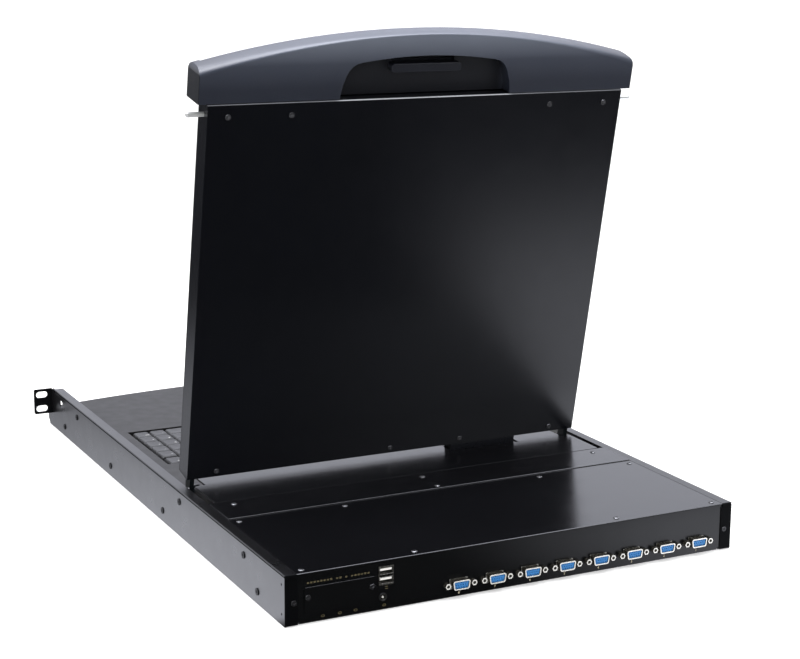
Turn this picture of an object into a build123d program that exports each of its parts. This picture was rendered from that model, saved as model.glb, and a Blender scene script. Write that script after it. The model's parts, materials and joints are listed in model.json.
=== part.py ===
from build123d import *
import math
import os

os.makedirs("parts", exist_ok=True)

# Rack drawer console: a one-unit chassis with a sliding keyboard drawer, a display hinged on
# the drawer and a row of video ports at the rear. All sizes in millimetres.
# Origin: on the rear (mounting) face of the rack ears, centred in width, at the middle hole
# of the rack unit. +X user's right, +Y to the rear, +Z up.

CUT = Mode.SUBTRACT
SIDES = (1, -1)          # user's right, then left

# ---- chassis ----
CHASSIS_X = 220.0        # half the chassis width
RAIL_TOP = 22.0
RAIL_BOTTOM = -22.0
RAIL_DEPTH = 659.2       # ear plane to the rear face of the rail
RAIL_T = 1.5             # rail and ear sheet
RAIL_IN_X = CHASSIS_X - RAIL_T
LINING_X = RAIL_IN_X - 0.1   # outer face of the parts that line the rail
CATCH_Y = 31.5           # catch slot for the lock pin
CATCH_Z = 11.5
SHEET_T = 1.2            # covers, floor and walls
FLOOR_TOP = RAIL_BOTTOM + SHEET_T
FLOOR_Y0, FLOOR_Y1 = 2.0, 657.0
BAY_WALL_Y = 466.0       # front face of the wall before the switch bay
WALL_TOP = 20.4

# ---- top covers ----
COVER_X = 209.5
SEAM_FRONT = 463.6       # drawer deck / fixed strip
SEAM_REAR = 510.0        # strip / rear cover
STRIP_TOP = 22.8
COVER_TOP = 22.0
DECK_TOP = 22.7          # drawer deck, nearly level with the strip

# ---- screws and their holes ----
SHANK_R = 1.25
TAP_R = 1.3              # hole the screw bites into
CLEAR_R = 1.6            # hole the screw passes through
SIDE_UPPER_Y = [92.0, 413.0, 571.0]
SIDE_LOWER_Y = [44.5, 207.0, 366.0, 601.0]
SIDE_UPPER_Z, SIDE_LOWER_Z = 11.2, -11.2
STRIP_ROW_X, STRIP_ROW_Y = [-190, 0, 190], 474
STRIP_MID_Y = 504        # single screw where the strip overlaps the rear cover
FRONT_ROW_X, FRONT_ROW_Y = [-203, -101.5, 101.5, 203], 519
REAR_ROW_X, REAR_ROW_Y = [-202.5, -100, 100, 202.5], 652
RAIL_REAR_X, RAIL_REAR_Z = 212.3, -2.3
BLANK_SCREWS_X, BLANK_SCREW_Z = (199.8, 142.4), 0.6

# ---- rear panel ----
PANEL_Y0, PANEL_Y1 = 657.2, 658.4
SHELL_FLANGE_Y = PANEL_Y0 - 0.05     # rear face of what sits against the panel
VGA_Z = -10.1
VGA_XS = [60.6 - 34.8 * i for i in range(8)]
VGA_HALF = 12.5          # port centre to either standoff
USB_X, USB_Z = 129.4, 8.1
USB_PORT_DZ = (-4.05, 4.05)
JACK_X, JACK_Z = 132.0, -10.6
BLANK_X0, BLANK_X1 = 139.4, 202.8
BLANK_Z0, BLANK_Z1 = -14.2, 9.2
BLANK_Y1 = PANEL_Y1 + 1.0

# ---- drawer ----
DRAWER_X = 208.4
DECK_X = 203.2
DECK_Y0 = 384.0

# ---- display ----
# Places on the display are given as x, up (along the rear face from its lower edge) and
# depth (from the rear face towards the screen).
TILT = math.radians(11.27)
TILT_SIN, TILT_COS = math.sin(TILT), math.cos(TILT)
LCD_Y, LCD_Z = 404.36, 27.97         # lower rear edge of the display cover at rest
LCD_X = 209.0
LCD_H = 358.5
LCD_T = 22.0
AXIS_DROP, AXIS_DEPTH = 16.05, 6.5   # hinge axis below the lower edge, and its depth
PIN_UP, PIN_DEPTH = 348.0, 9.5       # lock pin axis
PIN_R = 2.25
PIN_TIP_X = 224.9

# local x = -X, local y = up the display, local z = out of the rear face
LCD = Plane(origin=(0, LCD_Y, LCD_Z), x_dir=(-1, 0, 0), z_dir=(0, TILT_COS, -TILT_SIN))
AXIS_Y = LCD_Y - AXIS_DROP * TILT_SIN - AXIS_DEPTH * TILT_COS
AXIS_Z = LCD_Z - AXIS_DROP * TILT_COS + AXIS_DEPTH * TILT_SIN


# ======================= helpers =======================

def block(x0, x1, y0, y1, z0, z1, mode=Mode.ADD):
    with Locations(((x0 + x1) / 2, (y0 + y1) / 2, (z0 + z1) / 2)):
        Box(abs(x1 - x0), abs(y1 - y0), abs(z1 - z0), mode=mode)


def rod_x(x0, x1, y, z, radius, mode=Mode.ADD):
    with Locations(((x0 + x1) / 2, y, z)):
        Cylinder(radius, abs(x1 - x0), rotation=(0, 90, 0), mode=mode)


def rod_y(x, y0, y1, z, radius, mode=Mode.ADD):
    with Locations((x, (y0 + y1) / 2, z)):
        Cylinder(radius, abs(y1 - y0), rotation=(90, 0, 0), mode=mode)


def rod_z(x, y, z0, z1, radius, mode=Mode.ADD):
    with Locations((x, y, (z0 + z1) / 2)):
        Cylinder(radius, abs(z1 - z0), mode=mode)


def side_hole(side, y, z, radius):
    """Hole across the side sheets of the chassis."""
    rod_x(side * (CHASSIS_X - 5), side * (CHASSIS_X + 1), y, z, radius, mode=CUT)


def rear_hole(x, z, radius):
    """Hole through the sheets at the rear face."""
    rod_y(x, 655, 662, z, radius, mode=CUT)


def top_hole(x, y, radius):
    """Hole through the sheets at the top."""
    rod_z(x, y, 18, 25, radius, mode=CUT)


def cross(half_length):
    """Half sizes of the two bars of a cross recess."""
    return (half_length, 0.3), (0.3, half_length)


def chips(table, base_z):
    """Blocks standing on a board, from rows of x, y, width, length, height."""
    for x, y, width, length, height in table:
        block(x - width / 2, x + width / 2, y - length / 2, y + length / 2,
              base_z, base_z + height)


def lcd_at(x, up, depth):
    return LCD.location * Location((-x, up, -depth))


def lcd_block(x0, x1, up0, up1, depth0, depth1, mode=Mode.ADD):
    with Locations(lcd_at((x0 + x1) / 2, (up0 + up1) / 2, (depth0 + depth1) / 2)):
        Box(abs(x1 - x0), abs(up1 - up0), abs(depth1 - depth0), mode=mode)


def lcd_rod_depth(x, up, depth0, depth1, radius, mode=Mode.ADD):
    with Locations(lcd_at(x, up, (depth0 + depth1) / 2)):
        Cylinder(radius, abs(depth1 - depth0), mode=mode)


def lcd_rod_x(x0, x1, up, depth, radius, mode=Mode.ADD):
    with Locations(lcd_at((x0 + x1) / 2, up, depth)):
        Cylinder(radius, abs(x1 - x0), rotation=(0, 90, 0), mode=mode)


def save(builder, name):
    builder.part.label = name
    export_step(builder.part, f"parts/{name}.step")


def save_mirrored(source, name):
    """Save the opposite hand of a finished part."""
    with BuildPart() as mirrored:
        add(mirror(source.part, about=Plane.YZ, mode=Mode.PRIVATE))
    save(mirrored, name)


# ======================= chassis =======================

# side rails: wall, folded ear, top flange, rear flange
FLANGE_W = 10.0          # inward top flange
FLANGE_Y0 = 5.0
TONGUE_Y0 = -20.0        # lower front end of the wall
TONGUE_BEVEL = 6.0
EAR_X = 482.6 / 2
EAR_Z0 = -6.0
SLOT_X = 465.1 / 2
HOLE_PITCH = 15.875      # rack hole spacing
SLOT_LENGTH, SLOT_R = 13.0, 3.6

with BuildPart() as side_rail_right:
    block(RAIL_IN_X, CHASSIS_X, 0, RAIL_DEPTH, RAIL_BOTTOM, RAIL_TOP)
    rear_edges = side_rail_right.part.edges().filter_by(Axis.X).filter_by_position(
        Axis.Y, RAIL_DEPTH - 0.01, RAIL_DEPTH + 0.01)
    fillet(rear_edges.sort_by(Axis.Z)[0], 1.0)
    with BuildSketch(Plane.YZ.offset(RAIL_IN_X)):
        with BuildLine():
            Polyline(
                (0, EAR_Z0),
                (TONGUE_Y0, EAR_Z0),
                (TONGUE_Y0, RAIL_BOTTOM + TONGUE_BEVEL),
                (TONGUE_Y0 + TONGUE_BEVEL, RAIL_BOTTOM),
                (0, RAIL_BOTTOM),
                close=True,
            )
        make_face()
    extrude(amount=RAIL_T)
    block(CHASSIS_X - FLANGE_W, RAIL_IN_X, FLANGE_Y0, RAIL_DEPTH, RAIL_TOP - RAIL_T, RAIL_TOP)
    outer_edges = side_rail_right.part.edges().filter_by(Axis.Y).filter_by_position(
        Axis.X, CHASSIS_X - 0.01, CHASSIS_X + 0.01)
    fillet(outer_edges.sort_by(Axis.Z)[-1], 0.9)
    # long seam under the folded top edge
    block(CHASSIS_X - 0.8, CHASSIS_X + 1, 2, RAIL_DEPTH + 1, 20.0, 20.95, mode=CUT)
    # rear flange and the lip folded down over it
    block(CHASSIS_X - 11.4, RAIL_IN_X, PANEL_Y1 + 0.05, RAIL_DEPTH,
          RAIL_BOTTOM + 0.6, RAIL_TOP - 3.4)
    block(CHASSIS_X - 10.4, CHASSIS_X - 1.0, RAIL_DEPTH - 0.2, RAIL_DEPTH + 0.7,
          RAIL_TOP - 3.1, RAIL_TOP - 0.1)
    # ear
    with BuildSketch(Plane.XZ):
        with BuildLine():
            Polyline(
                (RAIL_IN_X, EAR_Z0),
                (EAR_X - 1.5, EAR_Z0),
                (EAR_X, EAR_Z0 + 1.5),
                (EAR_X, RAIL_TOP - 0.8),
                (EAR_X - 1.2, RAIL_TOP + 0.2),
                (CHASSIS_X + 1.2, RAIL_TOP + 0.2),
                (RAIL_IN_X, RAIL_TOP - 2.5),
                close=True,
            )
        make_face()
        with Locations((SLOT_X, 0), (SLOT_X, HOLE_PITCH)):
            SlotOverall(SLOT_LENGTH, 2 * SLOT_R, mode=CUT)
    extrude(amount=RAIL_T)
    # catch slot for the lock pin
    with BuildSketch(Plane.YZ.offset(CHASSIS_X - 5)):
        with Locations((CATCH_Y, CATCH_Z)):
            SlotOverall(12, 7)
    extrude(amount=8, mode=CUT)
    for y in SIDE_UPPER_Y:
        side_hole(1, y, SIDE_UPPER_Z, 1.7)
    for y in SIDE_LOWER_Y:
        side_hole(1, y, SIDE_LOWER_Z, 1.7)
    # two shallow round dimples near the rear end
    for z in (12.7, -12.7):
        rod_x(CHASSIS_X - 0.4, CHASSIS_X + 1, 652.5, z, 1.1, mode=CUT)
    rear_hole(RAIL_REAR_X, RAIL_REAR_Z, CLEAR_R)
save(side_rail_right, "side_rail_right")
save_mirrored(side_rail_right, "side_rail_left")

# floor of the chassis with low side turn-ups, and full height ones around the switch bay
TURN_UP_SPLIT_Y = 464
BEAD_H = 0.35
NOTCH_X0, NOTCH_X1 = 206.8, 208.4    # notches at the lower rear corners

with BuildPart() as base_pan:
    block(-LINING_X, LINING_X, FLOOR_Y0, FLOOR_Y1, RAIL_BOTTOM, FLOOR_TOP)
    for side in SIDES:
        block(side * (LINING_X - SHEET_T), side * LINING_X, FLOOR_Y0, TURN_UP_SPLIT_Y,
              FLOOR_TOP, RAIL_BOTTOM + 3.6)
        block(side * (LINING_X - SHEET_T), side * LINING_X, TURN_UP_SPLIT_Y, FLOOR_Y1,
              FLOOR_TOP, WALL_TOP)
        # stiffening beads along the floor
        for y in (120, 250, 380):
            block(side * 40, side * 170, y, y + 8, FLOOR_TOP, FLOOR_TOP + BEAD_H)
        block(side * NOTCH_X0, side * NOTCH_X1, 652, 660, -23, -19, mode=CUT)
        side_hole(side, SIDE_UPPER_Y[2], SIDE_UPPER_Z, TAP_R)
        side_hole(side, SIDE_LOWER_Y[3], SIDE_LOWER_Z, TAP_R)
save(base_pan, "base_pan")

# wall between the drawer bay and the switch bay, with a top flange under the strip
WALL_FLANGE_X = 209
WALL_FLANGE_Z0 = 20.6

with BuildPart() as bay_wall:
    block(-216.8, 216.8, BAY_WALL_Y, BAY_WALL_Y + SHEET_T, FLOOR_TOP, WALL_TOP)
    block(-WALL_FLANGE_X, WALL_FLANGE_X, BAY_WALL_Y, BAY_WALL_Y + SHEET_T,
          WALL_TOP, WALL_FLANGE_Z0)
    block(-WALL_FLANGE_X, WALL_FLANGE_X, BAY_WALL_Y, BAY_WALL_Y + 16, WALL_FLANGE_Z0, 21.5)
    block(-130, -80, BAY_WALL_Y - 1, BAY_WALL_Y + 2, -12, 8, mode=CUT)
    for x in STRIP_ROW_X:
        top_hole(x, STRIP_ROW_Y, TAP_R)
save(bay_wall, "bay_wall")

# stiffening strips inside the rails, where the upper side screws bite
with BuildPart() as rail_stiffeners:
    for side in SIDES:
        block(side * 215.6, side * LINING_X, 80, 425, 6.5, 16)
        for y in SIDE_UPPER_Y[:2]:
            side_hole(side, y, SIDE_UPPER_Z, TAP_R)
save(rail_stiffeners, "rail_stiffeners")

# rear panel with the connector openings and a top turn-in
PANEL_TOP = 20.5

with BuildPart() as rear_panel:
    block(-217, 217, PANEL_Y0, PANEL_Y1, -20.6, PANEL_TOP)
    block(-208.5, 208.5, 643, PANEL_Y0, PANEL_TOP - 1, PANEL_TOP)
    block(BLANK_X0 + 2.5, BLANK_X1 - 2.5, 656, 660, BLANK_Z0 + 4, BLANK_Z1 - 4, mode=CUT)
    for side in SIDES:
        block(side * NOTCH_X0, side * NOTCH_X1, 655, 660, -23, -19.4, mode=CUT)
    for x in BLANK_SCREWS_X:
        rear_hole(x, BLANK_SCREW_Z, TAP_R)
    block(USB_X - 6.9, USB_X + 6.9, 656, 660, USB_Z - 8.4, USB_Z + 8.4, mode=CUT)
    rear_hole(JACK_X, JACK_Z, 3.8)
    for port_x in VGA_XS:
        block(port_x - 8.9, port_x + 8.9, 656, 660, VGA_Z - 4.7, VGA_Z + 4.7, mode=CUT)
        for dx in (-VGA_HALF, VGA_HALF):
            rear_hole(port_x + dx, VGA_Z, 1.7)
    for side in SIDES:
        rear_hole(side * RAIL_REAR_X, RAIL_REAR_Z, TAP_R)
    for x in REAR_ROW_X:
        top_hole(x, REAR_ROW_Y, TAP_R)
save(rear_panel, "rear_panel")

# fixed top covers: rear plate and the raised strip in front of it
with BuildPart() as rear_cover:
    block(-COVER_X, COVER_X, 496, 659.6, COVER_TOP - SHEET_T, COVER_TOP)
    rear_edges = rear_cover.part.edges().filter_by(Axis.X).sort_by(Axis.Y)[-2:]
    fillet(rear_edges.sort_by(Axis.Z)[-1], 1.0)
    for x in FRONT_ROW_X:
        top_hole(x, FRONT_ROW_Y, CLEAR_R)
    top_hole(0, STRIP_MID_Y, TAP_R)
    for x in REAR_ROW_X:
        top_hole(x, REAR_ROW_Y, CLEAR_R)
save(rear_cover, "rear_cover")

STRIP_Y0 = SEAM_FRONT + 0.5
STRIP_T = 0.8
STRIP_HEM = 0.5          # short turn-down along the front edge

with BuildPart() as strip_cover:
    block(-COVER_X, COVER_X, STRIP_Y0, SEAM_REAR, STRIP_TOP - STRIP_T, STRIP_TOP)
    block(-COVER_X, COVER_X, STRIP_Y0, STRIP_Y0 + 1,
          STRIP_TOP - STRIP_T - STRIP_HEM, STRIP_TOP - STRIP_T)
    top_edges = strip_cover.part.edges().filter_by(Axis.X).filter_by_position(
        Axis.Z, STRIP_TOP - 0.01, STRIP_TOP + 0.01)
    fillet(top_edges.sort_by(Axis.Y)[-1], 0.65)
    for x in STRIP_ROW_X:
        top_hole(x, STRIP_ROW_Y, CLEAR_R)
    top_hole(0, STRIP_MID_Y, CLEAR_R)
save(strip_cover, "strip_cover")

# blank plate over the option slot
with BuildPart() as slot_cover_plate:
    block(BLANK_X0, BLANK_X1, PANEL_Y1 + 0.02, BLANK_Y1, BLANK_Z0, BLANK_Z1)
    fillet(slot_cover_plate.part.edges().filter_by(Axis.Y), 1.0)
    for x in BLANK_SCREWS_X:
        rear_hole(x, BLANK_SCREW_Z, CLEAR_R)
save(slot_cover_plate, "slot_cover_plate")

# cover screws: low pan heads with a cross recess; rows of x, y, height of the seat
COVER_SCREWS = (
    [(x, STRIP_ROW_Y, STRIP_TOP) for x in STRIP_ROW_X]
    + [(0, STRIP_MID_Y, STRIP_TOP)]
    + [(x, FRONT_ROW_Y, COVER_TOP) for x in FRONT_ROW_X]
    + [(x, REAR_ROW_Y, COVER_TOP) for x in REAR_ROW_X]
)
HEAD_R = 2.5
HEAD_RIM_H, HEAD_CONE_H = 0.35, 0.6

with BuildPart() as cover_screws:
    for x, y, seat in COVER_SCREWS:
        rod_z(x, y, seat, seat + HEAD_RIM_H, HEAD_R)
        with Locations((x, y, seat + HEAD_RIM_H + HEAD_CONE_H / 2)):
            Cone(HEAD_R, 1.7, HEAD_CONE_H)
        rod_z(x, y, seat - 4.2, seat, SHANK_R)
        for dx, dy in cross(1.3):
            block(x - dx, x + dx, y - dy, y + dy, seat + 0.3, seat + 1.2, mode=CUT)
save(cover_screws, "cover_screws")

SIDE_SCREWS = ([(y, SIDE_UPPER_Z) for y in SIDE_UPPER_Y]
               + [(y, SIDE_LOWER_Z) for y in SIDE_LOWER_Y])

with BuildPart() as side_screws:
    for side in SIDES:
        for y, z in SIDE_SCREWS:
            rod_x(side * CHASSIS_X, side * (CHASSIS_X + 0.8), y, z, 3.1)
            rod_x(side * (CHASSIS_X - 4.2), side * CHASSIS_X, y, z, SHANK_R)
            for dy, dz in cross(1.4):
                block(side * (CHASSIS_X + 0.3), side * (CHASSIS_X + 1),
                      y - dy, y + dy, z - dz, z + dz, mode=CUT)
save(side_screws, "side_screws")

# rows of x, z, y of the seat
REAR_SCREWS = ([(side * RAIL_REAR_X, RAIL_REAR_Z, RAIL_DEPTH) for side in SIDES]
               + [(x, BLANK_SCREW_Z, BLANK_Y1) for x in BLANK_SCREWS_X])

with BuildPart() as rear_screws:
    for x, z, seat in REAR_SCREWS:
        rod_y(x, seat, seat + 0.9, z, 2.3)
        rod_y(x, seat - 4.0, seat, z, SHANK_R)
        for dx, dz in cross(1.3):
            block(x - dx, x + dx, seat + 0.3, seat + 1.2, z - dz, z + dz, mode=CUT)
save(rear_screws, "rear_screws")

# ======================= switch electronics =======================
BOARD_Z0, BOARD_Z1 = -17.6, -16.0

with BuildPart() as board_standoffs:
    for x in (-195, -60, 75, 195):
        for y in (535, 648):
            rod_z(x, y, FLOOR_TOP, BOARD_Z0, 2.6)
save(board_standoffs, "board_standoffs")

with BuildPart() as switch_board:
    block(-205, 205, 525, 656, BOARD_Z0, BOARD_Z1)
    fillet(switch_board.part.edges().filter_by(Axis.Z), 2)
save(switch_board, "switch_board")

# x, y, width, length, height
BOARD_CHIPS = [
    (60, 580, 22, 22, 2), (0, 580, 22, 22, 2), (-60, 580, 16, 16, 1.6),
    (-120, 575, 28, 14, 2), (120, 560, 30, 12, 2), (150, 600, 12, 12, 9),
    (170, 600, 10, 10, 12), (-160, 600, 12, 22, 3), (30, 612, 10, 6, 1.5),
    (-30, 612, 10, 6, 1.5), (-90, 612, 10, 6, 1.5),
]

with BuildPart() as board_chips:
    chips(BOARD_CHIPS, BOARD_Z1)
    # three round cans
    for x in (176, 160, 144):
        rod_z(x, 550, BOARD_Z1, -4, 5)
save(board_chips, "board_chips")


# ---- video ports: folded metal shells with a D-shaped shroud ----
def d_outline(port_x, half_top, half_bottom, half_height):
    """Corners of a port's D shape in x and z, wider at the top."""
    return [
        (port_x - half_top, VGA_Z + half_height),
        (port_x + half_top, VGA_Z + half_height),
        (port_x + half_bottom, VGA_Z - half_height),
        (port_x - half_bottom, VGA_Z - half_height),
    ]


SHROUD_Y0, SHROUD_LENGTH = 656.1, 7.7
SHELL_HALF_W = 15.4
INSERT_Y0, INSERT_LENGTH = 648.0, 14.9

with BuildPart() as vga_shells:
    for port_x in VGA_XS:
        shell_x0, shell_x1 = port_x - SHELL_HALF_W, port_x + SHELL_HALF_W
        block(shell_x0, shell_x1, SHROUD_Y0, SHELL_FLANGE_Y, VGA_Z - 6.2, VGA_Z + 6.2)
        block(shell_x0, shell_x1, INSERT_Y0, SHROUD_Y0, VGA_Z - 5.6, VGA_Z + 4.6)
        with BuildSketch(Plane.XZ.offset(-SHROUD_Y0)):
            with BuildLine():
                Polyline(*d_outline(port_x, 8.4, 7.2, 4.1), close=True)
            make_face()
            fillet(vertices(), 1.8)
        extrude(amount=-SHROUD_LENGTH)
        # opening from end to end
        with BuildSketch(Plane.XZ.offset(-646)):
            with BuildLine():
                Polyline(*d_outline(port_x, 7.3, 6.2, 3.05), close=True)
            make_face()
            fillet(vertices(), 1.0)
        extrude(amount=-20, mode=CUT)
        for dx in (-VGA_HALF, VGA_HALF):
            rod_y(port_x + dx, 640, 660, VGA_Z, 1.7, mode=CUT)
save(vga_shells, "vga_shells")

CONTACT_PITCH, CONTACT_R = 2.29, 0.55
CONTACT_ROWS = ((2.0, 0), (0.0, 0.6), (-2.0, 0))     # height from the port centre, x shift

with BuildPart() as vga_inserts:
    for port_x in VGA_XS:
        with BuildSketch(Plane.XZ.offset(-INSERT_Y0)):
            with BuildLine():
                Polyline(*d_outline(port_x, 7.25, 6.15, 3.0), close=True)
            make_face()
            fillet(vertices(), 1.0)
        extrude(amount=-INSERT_LENGTH)
        for dz, shift in CONTACT_ROWS:
            for i in range(-2, 3):
                rod_y(port_x + i * CONTACT_PITCH + shift, 659.5, 664, VGA_Z + dz, CONTACT_R,
                      mode=CUT)
save(vga_inserts, "vga_inserts")

# threaded hexagon standoffs either side of each port
THREAD_R = 1.42

with BuildPart() as vga_standoffs:
    for port_x in VGA_XS:
        for dx in (-VGA_HALF, VGA_HALF):
            x = port_x + dx
            with BuildSketch(Plane.XZ.offset(-PANEL_Y1)):
                with Locations((x, VGA_Z)):
                    RegularPolygon(2.75, 6)
            extrude(amount=-4.8)
            rod_y(x, 652.5, PANEL_Y1, VGA_Z, THREAD_R)
            rod_y(x, PANEL_Y1 + 0.5, PANEL_Y1 + 6, VGA_Z, THREAD_R, mode=CUT)
save(vga_standoffs, "vga_standoffs")

# stacked pair of USB-A sockets
USB_CAVITY_HALF = 6.15
USB_CAVITY_Y0 = 645

with BuildPart() as usb_shell:
    block(USB_X - 6.6, USB_X + 6.6, 643, 659.4, USB_Z - 8.1, USB_Z + 8.1)
    for dz in USB_PORT_DZ:
        block(USB_X - USB_CAVITY_HALF, USB_X + USB_CAVITY_HALF, USB_CAVITY_Y0, 662,
              USB_Z + dz - 2.6, USB_Z + dz + 2.6, mode=CUT)
    # gap between the two sockets
    block(USB_X - USB_CAVITY_HALF, USB_X + USB_CAVITY_HALF, 653, 662,
          USB_Z - 1.05, USB_Z + 1.05, mode=CUT)
save(usb_shell, "usb_shell")

with BuildPart() as usb_tongues:
    for dz in USB_PORT_DZ:
        port_z = USB_Z + dz
        block(USB_X - 6.0, USB_X + 6.0, USB_CAVITY_Y0 + 0.05, 647, port_z - 2.5, port_z + 2.5)
        block(USB_X - 5.4, USB_X + 5.4, 647, 658.4, port_z + 0.2, port_z + 2.1)
save(usb_tongues, "usb_tongues")

# round power inlet with a centre pin
with BuildPart() as dc_jack:
    block(JACK_X - 6, JACK_X + 6, 645, SHELL_FLANGE_Y, -15.9, JACK_Z + 5.4)
    rod_y(JACK_X, SHELL_FLANGE_Y, 658.9, JACK_Z, 3.7)
    rod_y(JACK_X, 650, 662, JACK_Z, 2.75, mode=CUT)
    rod_y(JACK_X, 649.5, 658.0, JACK_Z, 1.0)
save(dc_jack, "dc_jack")

# ======================= slides =======================
# telescopic: outer channel on the rail, middle channel, inner channel on the drawer
SLIDE_Y0, SLIDE_Y1 = 26.0, 456.0
MOVING_Y1 = SLIDE_Y1 - 3     # rear end of the middle and inner channels
CHANNEL_LIP = 1.0


def channel(side, web, lips, z0, z1, y1):
    """C channel along Y; web and lips are pairs of distances from the centre plane."""
    block(side * web[0], side * web[1], SLIDE_Y0, y1, z0, z1)
    for lip_z0, lip_z1 in ((z0, z0 + CHANNEL_LIP), (z1 - CHANNEL_LIP, z1)):
        block(side * lips[0], side * lips[1], SLIDE_Y0, y1, lip_z0, lip_z1)


with BuildPart() as slide_outer_members:
    for side in SIDES:
        channel(side, web=(217.3, 218.3), lips=(213.0, 217.3), z0=-18, z1=0, y1=SLIDE_Y1)
        # edges turned back at the mouth of the channel
        for z0, z1 in ((-17, -15.6), (-2.4, -1)):
            block(side * 213.0, side * 214.0, SLIDE_Y0, SLIDE_Y1, z0, z1)
        for y in SIDE_LOWER_Y[:3]:
            side_hole(side, y, SIDE_LOWER_Z, TAP_R)
        # rear stop
        block(side * 213.5, side * 217.3, SLIDE_Y1 - 2, SLIDE_Y1, -16, -2)
save(slide_outer_members, "slide_outer_members")

with BuildPart() as slide_middle_members:
    for side in SIDES:
        channel(side, web=(214.9, 215.5), lips=(210.9, 214.9), z0=-15.2, z1=-2.8,
                y1=MOVING_Y1)
save(slide_middle_members, "slide_middle_members")

# x, first y, radius, heights of the two rows
BALL_ROWS = [(215.2, 244, 0.85, (-16.1, -1.9)), (212.4, 44, 0.75, (-13.4, -4.6))]

with BuildPart() as slide_balls:
    for side in SIDES:
        for x, first_y, radius, heights in BALL_ROWS:
            for z in heights:
                for i in range(5):
                    with Locations((side * x, first_y + 45 * i, z)):
                        Sphere(radius)
save(slide_balls, "slide_balls")

with BuildPart() as slide_inner_members:
    for side in SIDES:
        channel(side, web=(208.45, 209.45), lips=(209.45, 213.6), z0=-12.6, z1=-5.4,
                y1=MOVING_Y1)
save(slide_inner_members, "slide_inner_members")

# ======================= drawer =======================
TRAY_Y0 = -6
TRAY_Z0, TRAY_Z1 = -20.3, -19.3
TRAY_WALL_TOP = -5.6
TRAY_WALL_X = DRAWER_X - SHEET_T     # inner face of the side walls
BOX_Y0, BOX_Y1 = 410.0, 460.0        # closed box under the deck
BOX_X = DECK_X - SHEET_T
BOX_TOP = 20.7

with BuildPart() as drawer_tray:
    block(-DRAWER_X, DRAWER_X, TRAY_Y0, BOX_Y1, TRAY_Z0, TRAY_Z1)
    for side in SIDES:
        block(side * TRAY_WALL_X, side * DRAWER_X, TRAY_Y0, BOX_Y1, TRAY_Z1, TRAY_WALL_TOP)
        block(side * BOX_X, side * TRAY_WALL_X, BOX_Y0, BOX_Y1,
              TRAY_WALL_TOP - SHEET_T, TRAY_WALL_TOP)
        block(side * BOX_X, side * DECK_X, BOX_Y0, BOX_Y1, TRAY_WALL_TOP - SHEET_T, BOX_TOP)
    # rear wall, then front wall of the box
    for y in (BOX_Y1 - SHEET_T, BOX_Y0):
        block(-TRAY_WALL_X, TRAY_WALL_X, y, y + SHEET_T, TRAY_Z1, TRAY_WALL_TOP)
        block(-DECK_X, DECK_X, y, y + SHEET_T, TRAY_WALL_TOP, BOX_TOP)
    # top turn-in behind the deck edge and cable openings
    block(-200, 200, BOX_Y1 - 13.2, BOX_Y1 - SHEET_T, BOX_TOP - 1, BOX_TOP)
    block(-135, -75, BOX_Y0 - 2, BOX_Y0 + 3, -14, 14, mode=CUT)
    block(-120, -90, BOX_Y1 - 3, BOX_Y1 + 2, -10, 4, mode=CUT)
save(drawer_tray, "drawer_tray")

DECK_NOTCH_Y1 = 409.4

with BuildPart() as hinge_deck:
    block(-DECK_X, DECK_X, DECK_Y0, SEAM_FRONT - 1.0, COVER_TOP - SHEET_T, DECK_TOP)
    # room for the cable cover and for the hinge arms as they turn
    block(-143, -66, DECK_Y0 - 1, DECK_NOTCH_Y1, 19, 24, mode=CUT)
    for side in SIDES:
        block(side * 192.6, side * 206, DECK_Y0 - 1, DECK_NOTCH_Y1, 19, 24, mode=CUT)
    fillet(hinge_deck.part.edges().filter_by(Axis.Z), 1.2)
    for x in (-150, -50, 50, 150):
        top_hole(x, 453, TAP_R)
save(hinge_deck, "hinge_deck")

# fixed half of each hinge: foot on the tray floor, upright and knuckle
KNUCKLE_R = 6.2
HINGE_PIN_R = 3.0
UPRIGHT_X0, UPRIGHT_X1 = 194.2, 200.2
BRACKET_Y1 = BOX_Y0 - 0.3
FOOT_TOP = TRAY_Z1 + 2.5

with BuildPart() as hinge_brackets:
    for side in SIDES:
        block(side * UPRIGHT_X0, side * UPRIGHT_X1, AXIS_Y - KNUCKLE_R, BRACKET_Y1,
              TRAY_Z1, AXIS_Z)
        rod_x(side * UPRIGHT_X0, side * UPRIGHT_X1, AXIS_Y, AXIS_Z, KNUCKLE_R)
        block(side * 172, side * UPRIGHT_X0, AXIS_Y - KNUCKLE_R, BRACKET_Y1,
              TRAY_Z1, FOOT_TOP)
        rod_x(side * 190, side * 203, AXIS_Y, AXIS_Z, HINGE_PIN_R + 0.05, mode=CUT)
save(hinge_brackets, "hinge_brackets")

# slotted heads on the bracket feet
FOOT_SCREW_Y = AXIS_Y + 4

with BuildPart() as hinge_screws:
    for side in SIDES:
        for x in (side * 178, side * 187):
            rod_z(x, FOOT_SCREW_Y, FOOT_TOP, FOOT_TOP + 1.8, 3.2)
            block(x - 1.9, x + 1.9, FOOT_SCREW_Y - 0.4, FOOT_SCREW_Y + 0.4,
                  FOOT_TOP + 0.8, FOOT_TOP + 2.5, mode=CUT)
save(hinge_screws, "hinge_screws")

# electronics for the keyboard, pointer and display link
CONSOLE_Z0, CONSOLE_Z1 = -15.3, -13.7
# x, y, width, length, height
CONSOLE_CHIPS = [
    (0, 434, 18, 18, 2), (40, 434, 12, 12, 1.6), (80, 440, 10, 14, 6), (-40, 430, 14, 8, 5),
]

with BuildPart() as console_board:
    block(-60, 120, 416, 452, CONSOLE_Z0, CONSOLE_Z1)
    for x in (-50, 110):
        for y in (420, 448):
            rod_z(x, y, TRAY_Z1, CONSOLE_Z0, 2.4)
    chips(CONSOLE_CHIPS, CONSOLE_Z1)
save(console_board, "console_board")

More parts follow.
